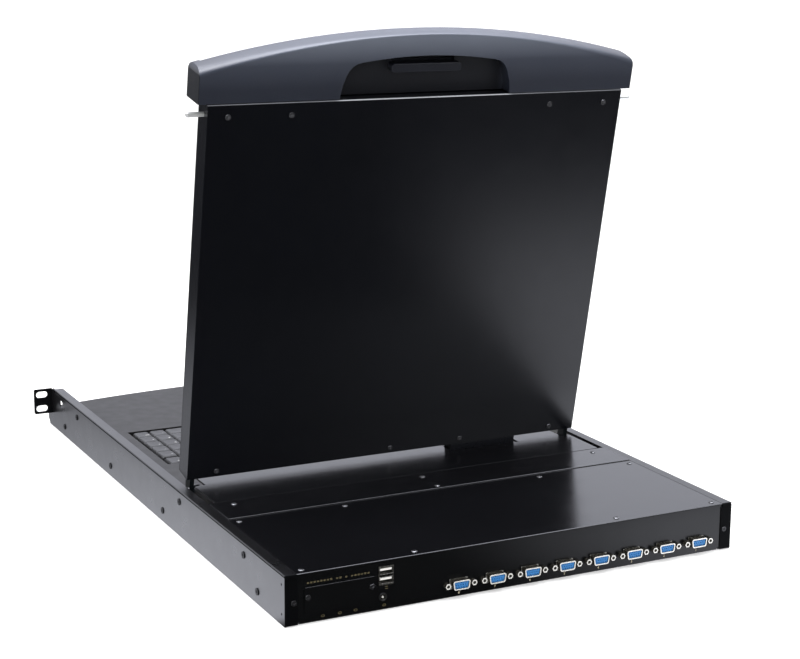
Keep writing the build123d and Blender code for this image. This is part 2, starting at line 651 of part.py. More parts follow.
# moulded top of the drawer: palm rest, keyboard surround and bowed front
PALM_TOP, PALM_T = -3.0, 2.5
PALM_Y1 = 378
FRONT_MID_Y, FRONT_END_Y = -41.5, -18.7
SKIRT_Y1 = -6.4
SKIRT_IN_X, SKIRT_IN_END_Y = DRAWER_X - PALM_T, FRONT_END_Y + 2.8
BAY_X = 173.5            # half the width of the keyboard opening, before its gap
BAY_Y0, BAY_Y1 = 125.0, 252.0
BAY_GAP = 0.8

with BuildPart() as palm_rest:
    with BuildSketch(Plane.XY.offset(PALM_TOP - PALM_T)):
        with BuildLine():
            ThreePointArc((-DRAWER_X, FRONT_END_Y), (0, FRONT_MID_Y), (DRAWER_X, FRONT_END_Y))
            Polyline((DRAWER_X, FRONT_END_Y), (DRAWER_X, PALM_Y1), (-DRAWER_X, PALM_Y1),
                     (-DRAWER_X, FRONT_END_Y))
        make_face()
    extrude(amount=PALM_T)
    # front skirt
    with BuildSketch(Plane.XY.offset(TRAY_Z0)):
        with BuildLine():
            ThreePointArc((-DRAWER_X, FRONT_END_Y), (0, FRONT_MID_Y), (DRAWER_X, FRONT_END_Y))
            Polyline((DRAWER_X, FRONT_END_Y), (DRAWER_X, SKIRT_Y1), (-DRAWER_X, SKIRT_Y1),
                     (-DRAWER_X, FRONT_END_Y))
        make_face()
        with BuildLine():
            ThreePointArc((-SKIRT_IN_X, SKIRT_IN_END_Y), (0, FRONT_MID_Y + PALM_T),
                          (SKIRT_IN_X, SKIRT_IN_END_Y))
            Polyline((SKIRT_IN_X, SKIRT_IN_END_Y), (SKIRT_IN_X, 0), (-SKIRT_IN_X, 0),
                     (-SKIRT_IN_X, SKIRT_IN_END_Y))
        make_face(mode=CUT)
    extrude(amount=PALM_TOP - PALM_T - TRAY_Z0)
    front_top = palm_rest.part.edges().filter_by(GeomType.CIRCLE).sort_by(Axis.Z)[-1]
    fillet(front_top, 2.0)
    # openings for the keys and for the pointer pad with its buttons
    block(-BAY_X - BAY_GAP, BAY_X + BAY_GAP, BAY_Y0 - BAY_GAP, BAY_Y1 + BAY_GAP, -8, 0,
          mode=CUT)
    block(-34.5, 34.5, 24.5, 96.5, -8, 0, mode=CUT)
    # ledges that carry the pointer pad
    block(-37, 37, 46, 97, -6.5, -5.3)
    block(-31, 31, 48, 93, -8, 0, mode=CUT)
save(palm_rest, "palm_rest")

PAD_X = 34.2

with BuildPart() as touchpad:
    block(-PAD_X, PAD_X, 46.3, 96.2, -5.25, -3.6)
save(touchpad, "touchpad")

for hand, x0, x1 in (("left", -PAD_X, -0.3), ("right", 0.3, PAD_X)):
    with BuildPart() as touchpad_button:
        block(x0, x1, 24.8, 45.7, -8.4, -3.2)
    save(touchpad_button, f"touchpad_button_{hand}")

# ---- keyboard: metal plate, circuit sheet, key blocks ----
RIM_OUT, RIM_IN = 3.0, 1.4           # rim of the plate, measured outwards from the bay
PLATE_Z0, PLATE_Z1 = -14.4, -13.2
RIM_TOP = -5.6

with BuildPart() as keyboard_plate:
    block(-BAY_X - RIM_OUT, BAY_X + RIM_OUT, BAY_Y0 - RIM_OUT, BAY_Y1 + RIM_OUT,
          PLATE_Z0, PLATE_Z1)
    for side in SIDES:
        block(side * (BAY_X + RIM_IN), side * (BAY_X + RIM_OUT),
              BAY_Y0 - RIM_OUT, BAY_Y1 + RIM_OUT, PLATE_Z1, RIM_TOP)
    for y0, y1 in ((BAY_Y0 - RIM_OUT, BAY_Y0 - RIM_IN), (BAY_Y1 + RIM_IN, BAY_Y1 + RIM_OUT)):
        block(-BAY_X - RIM_OUT, BAY_X + RIM_OUT, y0, y1, PLATE_Z1, RIM_TOP)
save(keyboard_plate, "keyboard_plate")

with BuildPart() as keyboard_circuit:
    block(-BAY_X, BAY_X, BAY_Y0, BAY_Y1, -16.2, -14.6)
save(keyboard_circuit, "keyboard_circuit")

KEY_FIELD_X = 170.3                  # half the width of the key field
KEY_TOP, KEY_BOTTOM = -3.6, -9.7
KEY_CAP_H = 1.4                      # narrower upper part of a key
KEY_UNIT = 2 * KEY_FIELD_X / 19      # key pitch across
ROW_PITCH = 19.6                     # key pitch front to back
TOP_ROW = 5                          # rows count from the front
TOP_ROW_LENGTH, TOP_ROW_GAP = 20.4, 4.0
KEYS_Y0 = BAY_Y0 + 1.0
KEY_GAP = 0.55                       # half the gap between keys
ROW_Y = [KEYS_Y0 + ROW_PITCH * (i + 0.5) for i in range(TOP_ROW)]
ROW_Y.append(KEYS_Y0 + ROW_PITCH * TOP_ROW + TOP_ROW_GAP + TOP_ROW_LENGTH / 2)
ROW_LENGTH = [ROW_PITCH] * TOP_ROW + [TOP_ROW_LENGTH]


def key(start, end, row):
    """Stepped key between two positions, in key units from the left of the field."""
    x0 = -KEY_FIELD_X + start * KEY_UNIT + KEY_GAP
    x1 = -KEY_FIELD_X + end * KEY_UNIT - KEY_GAP
    y0 = ROW_Y[row] - ROW_LENGTH[row] / 2 + KEY_GAP
    y1 = ROW_Y[row] + ROW_LENGTH[row] / 2 - KEY_GAP
    block(x0, x1, y0, y1, KEY_BOTTOM, KEY_TOP - KEY_CAP_H)
    block(x0 + 1.3, x1 - 1.3, y0 + 1.0, y1 - 1.6, KEY_TOP - KEY_CAP_H, KEY_TOP)


with BuildPart() as spacebar:
    key(3.75, 9.5, 0)
save(spacebar, "spacebar")

# row, boundaries between neighbouring keys in key units
TYPING_RUNS = [
    (0, [0, 1.25, 2.5, 3.75]),
    (0, [9.5, 10.75, 12.0]),
    (1, [0] + [2.25 + i for i in range(11)] + [13.0]),
    (2, [0] + [1.75 + i for i in range(12)] + [15.0]),
    (3, [0] + [1.5 + i for i in range(13)] + [15.0]),
    (4, [*range(14), 15.0]),
]

with BuildPart() as typing_keys:
    for row, stops in TYPING_RUNS:
        for start, end in zip(stops, stops[1:]):
            key(start, end, row)
save(typing_keys, "typing_keys")

with BuildPart() as arrow_keys:
    for start, row in ((12, 0), (13, 0), (14, 0), (13, 1), (14, 1)):
        key(start, start + 1, row)
save(arrow_keys, "arrow_keys")

with BuildPart() as function_keys:
    for start in range(15):
        key(start, start + 1, TOP_ROW)
save(function_keys, "function_keys")

with BuildPart() as numpad_keys:
    for row in range(TOP_ROW + 1):
        # the front row leaves room for a key of double width
        for start in range(17 if row == 0 else 15, 19):
            key(start, start + 1, row)
    key(15, 17, 0)
save(numpad_keys, "numpad_keys")

# ======================= display =======================
# x, up
LCD_SCREWS = [
    (190.1, 347.3), (130.8, 347.0), (-130.8, 347.0), (-190.1, 346.8),
    (180.4, 5.5), (0, 5.5), (-77, 5.5), (-180.4, 5.5),
]
NECK_BORE_X0, NECK_BORE_X1 = -138, -71       # cable passage into the display

# folded rear cover of the display, open towards the screen
with BuildPart() as lcd_rear_cover:
    lcd_block(-LCD_X, LCD_X, 0, LCD_H, 0, 20.3)
    lcd_block(-LCD_X + SHEET_T, LCD_X - SHEET_T, SHEET_T, LCD_H - SHEET_T, SHEET_T, LCD_T,
              mode=CUT)
    upper_rear = (0, LCD_Y + LCD_H * TILT_SIN, LCD_Z + LCD_H * TILT_COS)
    fillet(lcd_rear_cover.part.edges().filter_by(Axis.X).sort_by_distance(upper_rear)[0], 1.0)
    # openings for the hinge arms, the lock pins and the cable neck
    for side in SIDES:
        lcd_block(side * 200.6, side * 206.0, -2, 3, 1.3, 13.2, mode=CUT)
        lcd_rod_x(side * 205, side * 211, PIN_UP, PIN_DEPTH, PIN_R + 0.1, mode=CUT)
    lcd_block(NECK_BORE_X0, NECK_BORE_X1, -2, 3, 3.0, 10.5, mode=CUT)
    for x, up in LCD_SCREWS:
        lcd_rod_depth(x, up, -1, 3, CLEAR_R, mode=CUT)
save(lcd_rear_cover, "lcd_rear_cover")

with BuildPart() as lcd_screws:
    for x, up in LCD_SCREWS:
        lcd_rod_depth(x, up, -0.9, 0, 2.4)
        lcd_rod_depth(x, up, 0, 4.0, SHANK_R)
        for dx, d_up in cross(1.3):
            lcd_block(x - dx, x + dx, up - d_up, up + d_up, -1.2, -0.3, mode=CUT)
save(lcd_screws, "lcd_screws")

# panel frame and the glass let into its front
GLASS_X, GLASS_UP0, GLASS_UP1 = 170.4, 48.3, 321.2
GLASS_DEPTH = 17.2
GLASS_GAP = 0.1

with BuildPart() as lcd_module:
    lcd_block(-179.2, 179.2, 36.5, 333.0, 6, 18.6)
    lcd_block(-GLASS_X - GLASS_GAP, GLASS_X + GLASS_GAP,
              GLASS_UP0 - GLASS_GAP, GLASS_UP1 + GLASS_GAP, GLASS_DEPTH, 19, mode=CUT)
save(lcd_module, "lcd_module")

with BuildPart() as lcd_glass:
    lcd_block(-GLASS_X, GLASS_X, GLASS_UP0, GLASS_UP1, GLASS_DEPTH, 18.9)
save(lcd_glass, "lcd_glass")

# two boards in the rear cover, each on four posts; rows of x0, x1, up0, up1
LCD_BOARDS = [(-150, -10, 60, 190), (20, 150, 60, 130)]
LCD_BOARD_DEPTH = 3.4
POST_INSET = 5

with BuildPart() as lcd_board:
    for x0, x1, up0, up1 in LCD_BOARDS:
        lcd_block(x0, x1, up0, up1, LCD_BOARD_DEPTH, LCD_BOARD_DEPTH + 1.6)
    for x0, x1, up0, up1 in LCD_BOARDS:
        for up in (up0 + POST_INSET, up1 - POST_INSET):
            for x in (x0 + POST_INSET, x1 - POST_INSET):
                lcd_rod_depth(x, up, SHEET_T, LCD_BOARD_DEPTH, 2.2)
save(lcd_board, "lcd_board")

# carrying handle: bowed moulding across the top of the display
HANDLE_X = 218.1
HANDLE_UP0 = 359.2
CHEEK_DEPTH = 28.0
# depth, up of the top edge at the middle, up of the top edge at the ends
HANDLE_SECTIONS = [
    (0.0, 415.1, 381.4), (0.4, 415.7, 383.2), (1.0, 416.05, 384.5), (2.0, 416.35, 385.9),
    (3.5, 416.5, 387.0), (6.0, 416.65, 387.9), (10.8, 416.8, 388.8), (20.0, 416.9, 389.8),
    (25.0, 416.3, 389.3), (CHEEK_DEPTH, 415.0, 388.0),
]
# finger recess: up of its bowed top at the middle, then x, up down one side
RECESS_MID_UP = 396.6
RECESS_SIDE = [
    (66.5, 391.6), (71.5, 390.4), (75.6, 388.0), (78.6, 384.6), (81.4, 379.4), (84.2, 371.0),
    (86.0, HANDLE_UP0), (86.4, HANDLE_UP0 - 2),
]
# part of the front bezel that covers the handle
BEZEL_TOP_X = 205.0
BEZEL_END_UP, BEZEL_MID_UP = 384.0, 404.0
BEZEL_T = 1.5
BEZEL_DEPTH = LCD_T - BEZEL_T
REBATE_GAP = 0.2
REBATE_X = BEZEL_TOP_X + REBATE_GAP
REBATE_END_UP = BEZEL_END_UP + REBATE_GAP

with BuildPart() as handle_shell:
    for depth, mid_up, end_up in HANDLE_SECTIONS:
        with BuildSketch(LCD.offset(-depth)):
            with BuildLine():
                Line((-HANDLE_X, HANDLE_UP0), (HANDLE_X, HANDLE_UP0))
                Line((HANDLE_X, HANDLE_UP0), (HANDLE_X, end_up))
                ThreePointArc((HANDLE_X, end_up), (0, mid_up), (-HANDLE_X, end_up))
                Line((-HANDLE_X, end_up), (-HANDLE_X, HANDLE_UP0))
            make_face()
    loft(ruled=True)
    # rounded upper corners
    for side in SIDES:
        with BuildSketch(LCD.offset(1)):
            with BuildLine():
                ThreePointArc((side * (HANDLE_X + 0.1), 383.2), (side * (HANDLE_X - 1.4), 388.4),
                              (side * (HANDLE_X - 6.2), 392.2))
                Polyline((side * (HANDLE_X - 6.2), 392.2), (side * (HANDLE_X + 5), 392.2),
                         (side * (HANDLE_X + 5), 383.2), (side * (HANDLE_X + 0.1), 383.2))
            make_face()
        extrude(amount=-32, mode=CUT)
    # clear the drawer top between the two end cheeks
    lcd_block(-209.6, 209.6, HANDLE_UP0 - 5, 430, LCD_T, 30, mode=CUT)
    # rebate for the front bezel and cavities behind it
    with BuildSketch(LCD.offset(-BEZEL_DEPTH + 0.1)):
        with BuildLine():
            Polyline((-REBATE_X, REBATE_END_UP), (-REBATE_X, HANDLE_UP0 - 1),
                     (REBATE_X, HANDLE_UP0 - 1), (REBATE_X, REBATE_END_UP))
            ThreePointArc((REBATE_X, REBATE_END_UP), (0, BEZEL_MID_UP + REBATE_GAP),
                          (-REBATE_X, REBATE_END_UP))
        make_face()
    extrude(amount=-3, mode=CUT)
    for side in SIDES:
        lcd_block(side * 93, side * 200, HANDLE_UP0 + 2.5, 380, 3, 21, mode=CUT)
    lcd_block(-80, 80, HANDLE_UP0 + 2.5, 400.5, 16.2, 21, mode=CUT)
    # finger recess, open at its lower side
    with BuildSketch(LCD.offset(1)):
        with BuildLine():
            recess_x, recess_up = RECESS_SIDE[0]
            Polyline(*[(-x, up) for x, up in RECESS_SIDE], *reversed(RECESS_SIDE))
            ThreePointArc((recess_x, recess_up), (0, RECESS_MID_UP), (-recess_x, recess_up))
        make_face()
    extrude(amount=-14.6, mode=CUT)
    # slot for the release lever
    lcd_block(-31.5, 31.5, 380.2, 391.6, 13, 17, mode=CUT)
save(handle_shell, "handle_shell")

# front bezel with a row of four display setting buttons, listed from low x to high
BUTTONS = ("down", "up", "menu", "power")
BUTTON_X0, BUTTON_PITCH, BUTTON_W = 96, 20, 14
BUTTON_UP0, BUTTON_UP1 = 15.5, 22.5
BUTTON_GAP = 0.3

with BuildPart() as lcd_bezel:
    with BuildSketch(LCD.offset(-BEZEL_DEPTH)):
        with BuildLine():
            Polyline((-BEZEL_TOP_X, BEZEL_END_UP), (-BEZEL_TOP_X, LCD_H), (-LCD_X, LCD_H),
                     (-LCD_X, 0), (LCD_X, 0), (LCD_X, LCD_H), (BEZEL_TOP_X, LCD_H),
                     (BEZEL_TOP_X, BEZEL_END_UP))
            ThreePointArc((BEZEL_TOP_X, BEZEL_END_UP), (0, BEZEL_MID_UP),
                          (-BEZEL_TOP_X, BEZEL_END_UP))
        make_face()
    extrude(amount=-BEZEL_T)
    lcd_block(-169.2, 169.2, 49.6, 319.9, 18, 24, mode=CUT)
    # ribs behind the bezel, below and above the opening, down to the display module
    for up0 in (44.8, 322.3):
        lcd_block(-174, 174, up0, up0 + 2.4, 18.7, BEZEL_DEPTH)
    for i in range(len(BUTTONS)):
        x0 = BUTTON_X0 + BUTTON_PITCH * i
        lcd_block(x0, x0 + BUTTON_W, BUTTON_UP0, BUTTON_UP1, 18, 24, mode=CUT)
save(lcd_bezel, "lcd_bezel")

for i, name in enumerate(BUTTONS):
    x0 = BUTTON_X0 + BUTTON_PITCH * i
    with BuildPart() as setting_button:
        lcd_block(x0 + BUTTON_GAP, x0 + BUTTON_W - BUTTON_GAP,
                  BUTTON_UP0 + BUTTON_GAP, BUTTON_UP1 - BUTTON_GAP, 18.2, 21.9)
    save(setting_button, f"setting_button_{name}")

# turning half of each hinge
ARM_X0, ARM_X1 = 201.0, 205.4

with BuildPart() as hinge_arms:
    for side in SIDES:
        lcd_block(side * ARM_X0, side * ARM_X1, -AXIS_DROP, 42, 1.9, 12.4)
        lcd_rod_x(side * ARM_X0, side * ARM_X1, -AXIS_DROP, AXIS_DEPTH, KNUCKLE_R)
        lcd_rod_x(side * 199, side * 208, -AXIS_DROP, AXIS_DEPTH, HINGE_PIN_R, mode=CUT)
save(hinge_arms, "hinge_arms")

with BuildPart() as hinge_pins:
    for side in SIDES:
        lcd_rod_x(side * 193.0, side * ARM_X1, -AXIS_DROP, AXIS_DEPTH, HINGE_PIN_R)
        lcd_rod_x(side * ARM_X1, side * (ARM_X1 + 2), -AXIS_DROP, AXIS_DEPTH, 4.4)
save(hinge_pins, "hinge_pins")

# hollow neck that takes the cables from the drawer into the display
NECK_X0, NECK_X1 = -141, -68

with BuildPart() as cable_cover:
    lcd_block(NECK_X0, NECK_X1, -AXIS_DROP, -0.05, 0.4, 12.6)
    lcd_rod_x(NECK_X0, NECK_X1, -AXIS_DROP, AXIS_DEPTH, 6.1)
    lcd_block(NECK_BORE_X0, NECK_BORE_X1, -AXIS_DROP + 2, 2, 3.0, 10.0, mode=CUT)
    lcd_rod_x(NECK_X0 - 2, NECK_X1 + 2, -AXIS_DROP, AXIS_DEPTH, 3.6, mode=CUT)
save(cable_cover, "cable_cover")

# release lever in the handle, with its slider behind the recess floor
LEVER_UP = 384.4
LEVER_DEPTH, LEVER_T = 5.0, 8.2

with BuildPart() as release_lever:
    with BuildSketch(LCD.offset(-LEVER_DEPTH)):
        with Locations((0, LEVER_UP)):
            RectangleRounded(70, 7.6, 2.4)
    extrude(amount=-LEVER_T)
    lcd_block(-29.5, 29.5, 380.6, LEVER_UP, LEVER_DEPTH + LEVER_T, 16.8)
    lcd_block(-60, 60, 372, 390, 16.8, 18.4)
save(release_lever, "release_lever")

# spring-loaded lock pins: tip, collar and thin stem
with BuildPart() as lock_pin_right:
    lcd_rod_x(198.0, PIN_TIP_X, PIN_UP, PIN_DEPTH, PIN_R)
    fillet(lock_pin_right.part.edges().filter_by(GeomType.CIRCLE).sort_by(Axis.X)[-1], 1.2)
    lcd_rod_x(197.0, 199.0, PIN_UP, PIN_DEPTH, 3.6)
    lcd_rod_x(168.0, 197.0, PIN_UP, PIN_DEPTH, 1.25)
save(lock_pin_right, "lock_pin_right")
save_mirrored(lock_pin_right, "lock_pin_left")

# angle brackets screwed to the rear cover, one around each stem
GUIDE_X = 176.0
GUIDE_T = 1.6
GUIDE_HALF = 6

with BuildPart() as pin_guides:
    for side in SIDES:
        lcd_block(side * GUIDE_X, side * (GUIDE_X + GUIDE_T),
                  PIN_UP - GUIDE_HALF, PIN_UP + GUIDE_HALF, 1.25, 15)
        lcd_block(side * (GUIDE_X + GUIDE_T), side * (GUIDE_X + 18),
                  PIN_UP - GUIDE_HALF, PIN_UP + GUIDE_HALF, 1.25, 2.6)
        lcd_rod_x(side * (GUIDE_X - 3), side * (GUIDE_X + 4), PIN_UP, PIN_DEPTH, 1.3, mode=CUT)
    for x, up in (LCD_SCREWS[0], LCD_SCREWS[3]):
        lcd_rod_depth(x, up, 1, 3, 1.35, mode=CUT)
save(pin_guides, "pin_guides")

# springs as rows of rings
COIL_X0, COIL_PITCH = GUIDE_X + 2.4, 1.9

with BuildPart() as pin_springs:
    for side in SIDES:
        for i in range(6):
            coil = lcd_at(side * (COIL_X0 + COIL_PITCH * i), PIN_UP, PIN_DEPTH)
            with Locations(coil * Location((0, 0, 0), (0, 90, 0))):
                Torus(2.6, 0.4)
save(pin_springs, "pin_springs")
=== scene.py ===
"""Rack console drawer: keyboard, touchpad and a raised display over a flat chassis.

X runs across the drawer, +Y towards its rear panel with the ports, +Z up. The display stands up
from the deck and leans back towards +Y. The camera looks from behind. Lengths of the built pieces
are in millimetres and go through MM; materials, lights and the camera are in metres.
"""
import bpy
import bmesh
import json
import math
from mathutils import Matrix, Vector


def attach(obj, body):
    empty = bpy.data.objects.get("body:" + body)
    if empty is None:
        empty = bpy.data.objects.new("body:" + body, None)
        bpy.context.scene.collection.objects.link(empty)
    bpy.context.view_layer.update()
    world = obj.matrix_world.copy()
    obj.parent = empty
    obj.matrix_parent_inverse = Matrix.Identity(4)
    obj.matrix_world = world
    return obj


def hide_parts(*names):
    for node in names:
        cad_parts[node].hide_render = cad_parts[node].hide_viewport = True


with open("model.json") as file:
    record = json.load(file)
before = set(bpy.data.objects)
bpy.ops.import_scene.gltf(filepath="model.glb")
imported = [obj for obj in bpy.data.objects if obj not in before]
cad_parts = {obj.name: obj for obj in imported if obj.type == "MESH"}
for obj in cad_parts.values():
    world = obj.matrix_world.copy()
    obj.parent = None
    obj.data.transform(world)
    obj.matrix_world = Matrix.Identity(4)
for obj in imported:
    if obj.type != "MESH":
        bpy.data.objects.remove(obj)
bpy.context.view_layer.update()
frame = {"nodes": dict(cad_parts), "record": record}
NODES = frame["nodes"]
BODIES = frame["record"]["behaviour"]["bodies"]
BODY_OF = {piece: body for body, pieces in BODIES.items() for piece in pieces}
MM = 0.001

# Display frame: origin on the lower edge of its rear face, leaning back by TILT
TILT = math.radians(11.27)
DISPLAY_Y, DISPLAY_Z = 404.36, 27.97
DISPLAY_ORIGIN = Vector((0, DISPLAY_Y, DISPLAY_Z))
DISPLAY_UP = Vector((0, math.sin(TILT), math.cos(TILT)))
DISPLAY_REAR = Vector((0, math.cos(TILT), -math.sin(TILT)))

PANEL_Y = 658.40  # outer face of the rear panel
PRINT_RISE = 0.04  # how far raised print stands proud


# ------------------------------------------------------------------ node trees


class Nodes:
    """Short ways to add nodes to a tree; a value may be a constant or an output socket."""

    def __init__(self, tree):
        self.tree = tree

    def feed(self, socket, value):
        if isinstance(value, bpy.types.NodeSocket):
            self.tree.links.new(value, socket)
        elif socket.type == "RGBA":
            socket.default_value = (*value, 1)
        else:
            socket.default_value = value

    def node(self, kind, inputs=None, **props):
        made = self.tree.nodes.new(kind)
        for key, value in props.items():
            setattr(made, key, value)
        for key, value in (inputs or {}).items():
            self.feed(made.inputs[key], value)
        return made

    def math(self, operation, first, second):
        return self.node("ShaderNodeMath", {0: first, 1: second}, operation=operation).outputs[0]

    def absolute(self, value):
        return self.math("ABSOLUTE", value, 0.0)

    def split(self, vector):
        return self.node("ShaderNodeSeparateXYZ", {0: vector}).outputs

    def ramp(self, value, span=(0.3, 0.7), to=(0.0, 1.0), interpolation="LINEAR"):
        """map span onto to; the default span is the useful range of a noise"""
        limits = {"From Min": span[0], "From Max": span[1], "To Min": to[0], "To Max": to[1]}
        made = self.node("ShaderNodeMapRange", {**limits, "Value": value},
                         interpolation_type=interpolation)
        return made.outputs["Result"]

    def fade(self, value, span, to):
        return self.ramp(value, span, to, "SMOOTHSTEP")

    def mix(self, factor, first, second):
        """colour mix: first where factor is 0; 6, 7 and output 2 are the colour sockets"""
        made = self.node("ShaderNodeMix", data_type="RGBA")
        for key, value in ((0, factor), (6, first), (7, second)):
            self.feed(made.inputs[key], value)
        return made.outputs[2]

    def mix_value(self, factor, first, second):
        """number mix: first where factor is 0; 2, 3 and output 0 are the number sockets"""
        made = self.node("ShaderNodeMix", {0: factor, 2: first, 3: second}, data_type="FLOAT")
        return made.outputs[0]


class Material(Nodes):
    """A principled material whose textures lie in object space."""

    def __init__(self, name):
        self.material = bpy.data.materials.new(name)
        self.material.use_nodes = True
        super().__init__(self.material.node_tree)
        self.bsdf = self.tree.nodes["Principled BSDF"]
        self.coord = self.node("ShaderNodeTexCoord").outputs["Object"]
        self.normal = None

    def set(self, socket, value):
        self.feed(self.bsdf.inputs[socket], value)

    def stretched(self, scale):
        made = self.node("ShaderNodeMapping", {"Scale": scale, "Vector": self.coord})
        return made.outputs["Vector"]

    def noise(self, scale, detail=2.0, rough=0.5, vector=None):
        inputs = {"Scale": scale, "Detail": detail, "Roughness": rough,
                  "Vector": vector or self.coord}
        return self.node("ShaderNodeTexNoise", inputs).outputs["Fac"]

    def cloud(self, scale, detail=2.0, span=(0.3, 0.7), to=(0.0, 1.0)):
        """noise with its span mapped onto to"""
        return self.ramp(self.noise(scale, detail), span, to)

    def local_normal(self):
        return self.split(self.node("ShaderNodeTexCoord").outputs["Normal"])

    def world_normal(self):
        return self.split(self.node("ShaderNodeNewGeometry").outputs["Normal"])

    def display_place(self):
        """depth in front of the display's rear face, height up it, distance from its middle"""
        x, y, z = self.split(self.coord)
        sine, cosine = math.sin(TILT), math.cos(TILT)
        y = self.math("SUBTRACT", y, DISPLAY_Y * MM)
        z = self.math("SUBTRACT", z, DISPLAY_Z * MM)
        depth = self.math("SUBTRACT", self.math("MULTIPLY", z, sine),
                          self.math("MULTIPLY", y, cosine))
        height = self.math("ADD", self.math("MULTIPLY", z, cosine),
                           self.math("MULTIPLY", y, sine))
        return depth, height, self.absolute(x)

    def bump(self, height, distance):
        inputs = {"Strength": 1.0, "Distance": distance, "Height": height}
        if self.normal is not None:
            inputs["Normal"] = self.normal
        self.normal = self.node("ShaderNodeBump", inputs).outputs["Normal"]

    def done(self, color, rough):
        self.set("Base Color", color)
        self.set("Roughness", rough)
        self.set("Normal", self.normal)
        return self.material


# ------------------------------------------------------------------ kinds of surface


def shade(color, factor, lift=0.0):
    return [min(1, c * factor + lift) for c in color]


def around(middle, spread):
    return middle - spread, middle + spread


def dusty(mat, base, amount):
    """faint dust that settles on faces that look up"""
    _, _, z = mat.world_normal()
    upward = mat.ramp(z, span=(0.6, 1.0))
    film = mat.ramp(mat.noise(scale=38, detail=4, rough=0.6), span=(0.45, 0.75))
    fleck = mat.cloud(scale=1500, detail=1, span=(0.70, 0.76))
    film = mat.math("MULTIPLY", film, amount)
    fleck = mat.math("MULTIPLY", fleck, amount * 1.6)
    cover = mat.math("MULTIPLY", upward, mat.math("ADD", film, fleck))
    return mat.mix(cover, base, (0.30, 0.29, 0.27))


def coat_color(mat, color, speck):
    """slow drift of a coat's colour, with fine paler specks of the given strength"""
    base = mat.mix(mat.cloud(scale=9, detail=3), shade(color, 0.86), shade(color, 1.15))
    if speck:
        dots = mat.cloud(scale=2600, detail=1, span=(0.66, 0.74), to=(0.0, speck))
        base = mat.mix(dots, base, shade(color, 1.9, lift=0.0015))
    return base


def coat_skin(mat, peel, grit):
    """bump heights of the orange peel and of the fine grit"""
    mat.bump(mat.noise(scale=520), distance=peel)
    mat.bump(mat.noise(scale=2300, detail=1), distance=grit)


def powder(name, color, rough, peel=0.00003, grit=0.000012, dust=0.0, spec=0.5):
    """baked powder coat: orange peel, fine grit, slight colour drift"""
    mat = Material(name)
    base = coat_color(mat, color, speck=0.30)
    if dust:
        base = dusty(mat, base, dust)
    gloss = mat.cloud(scale=55, detail=4, to=around(rough, 0.02))
    coat_skin(mat, peel, grit)
    mat.set("Specular IOR Level", spec)
    return mat.done(base, gloss)


def moulded(name, color, rough, spark=0.00001, spec=0.5, tint=0.10):
    """moulded plastic: spark is the height of its eroded grain, tint its colour drift"""
    mat = Material(name)
    base = mat.mix(mat.cloud(scale=14, detail=3), shade(color, 1 - tint), shade(color, 1 + tint))
    grain = mat.noise(scale=1400, rough=0.6)
    pale = mat.ramp(grain, span=(0.35, 0.7), to=(0.0, 0.25))
    base = mat.mix(pale, base, shade(color, 1.35, lift=0.002))
    gloss = mat.cloud(scale=80, detail=3, to=around(rough, 0.04))
    mat.bump(grain, distance=spark)
    mat.set("Specular IOR Level", spec)
    mat.set("Coat Roughness", 0.2)
    return mat.done(base, gloss)


def metal(name, color, rough, stretch=(1, 60, 60), scale=60,
          tint=(0.75, 0.8, 0.95), tint_amount=0.12, metallic=1.0):
    """plated or bare steel with a drawn grain along the least stretched axis"""
    mat = Material(name)
    line = mat.noise(scale, detail=3, rough=0.6, vector=mat.stretched(stretch))
    patch = mat.noise(scale=45, detail=3)
    base = mat.mix(mat.ramp(line), shade(color, 0.86), shade(color, 1.08))
    base = mat.mix(mat.ramp(patch, span=(0.4, 0.7), to=(0, tint_amount)), base, tint)
    spot = mat.cloud(scale=420, span=(0.68, 0.78), to=(0.0, 0.45))
    base = mat.mix(spot, base, shade(color, 0.62))
    gloss = mat.math("ADD", mat.ramp(line, to=around(rough, 0.06)),
                     mat.ramp(patch, span=(0.4, 0.7), to=(-0.03, 0.05)))
    mat.bump(line, distance=0.000008)
    mat.set("Metallic", metallic)
    return mat.done(base, gloss)


def printed(name, color):
    """screen print: slightly uneven ink"""
    mat = Material(name)
    ink = mat.noise(scale=1200)
    base = mat.mix(mat.ramp(ink, span=(0.3, 0.75)), shade(color, 0.85), color)
    mat.bump(ink, distance=0.00001)
    return mat.done(base, mat.ramp(ink, to=(0.44, 0.56)))


# ------------------------------------------------------------------ surfaces of single parts


def board(name):
    """printed circuit board: solder mask over tracks, tinned pads"""
    mat = Material(name)
    tracks = mat.node("ShaderNodeTexBrick", {
        "Scale": 210,
        "Mortar Size": 0.035,
        "Color1": (0.006, 0.07, 0.028),
        "Color2": (0.010, 0.10, 0.04),
        "Mortar": (0.004, 0.04, 0.018),
        "Vector": mat.coord,
    })
    cells = mat.node("ShaderNodeTexVoronoi", {"Scale": 260, "Vector": mat.coord})
    reach = cells.outputs["Distance"]
    pad = mat.ramp(reach, span=(0.10, 0.13), to=(1.0, 0.0))
    base = mat.mix(pad, tracks.outputs["Color"], (0.55, 0.54, 0.48))
    mat.bump(mat.ramp(reach, span=(0.1, 0.2), to=(1, 0)), distance=0.00003)
    return mat.done(base, mat.cloud(scale=200, to=(0.28, 0.42)))


def chip_epoxy(name):
    mat = Material(name)
    base = mat.mix(mat.cloud(scale=900), (0.012, 0.012, 0.013), (0.03, 0.03, 0.032))
    mat.bump(mat.noise(scale=3000, detail=1), distance=0.00001)
    return mat.done(base, mat.cloud(scale=120, to=(0.45, 0.6)))


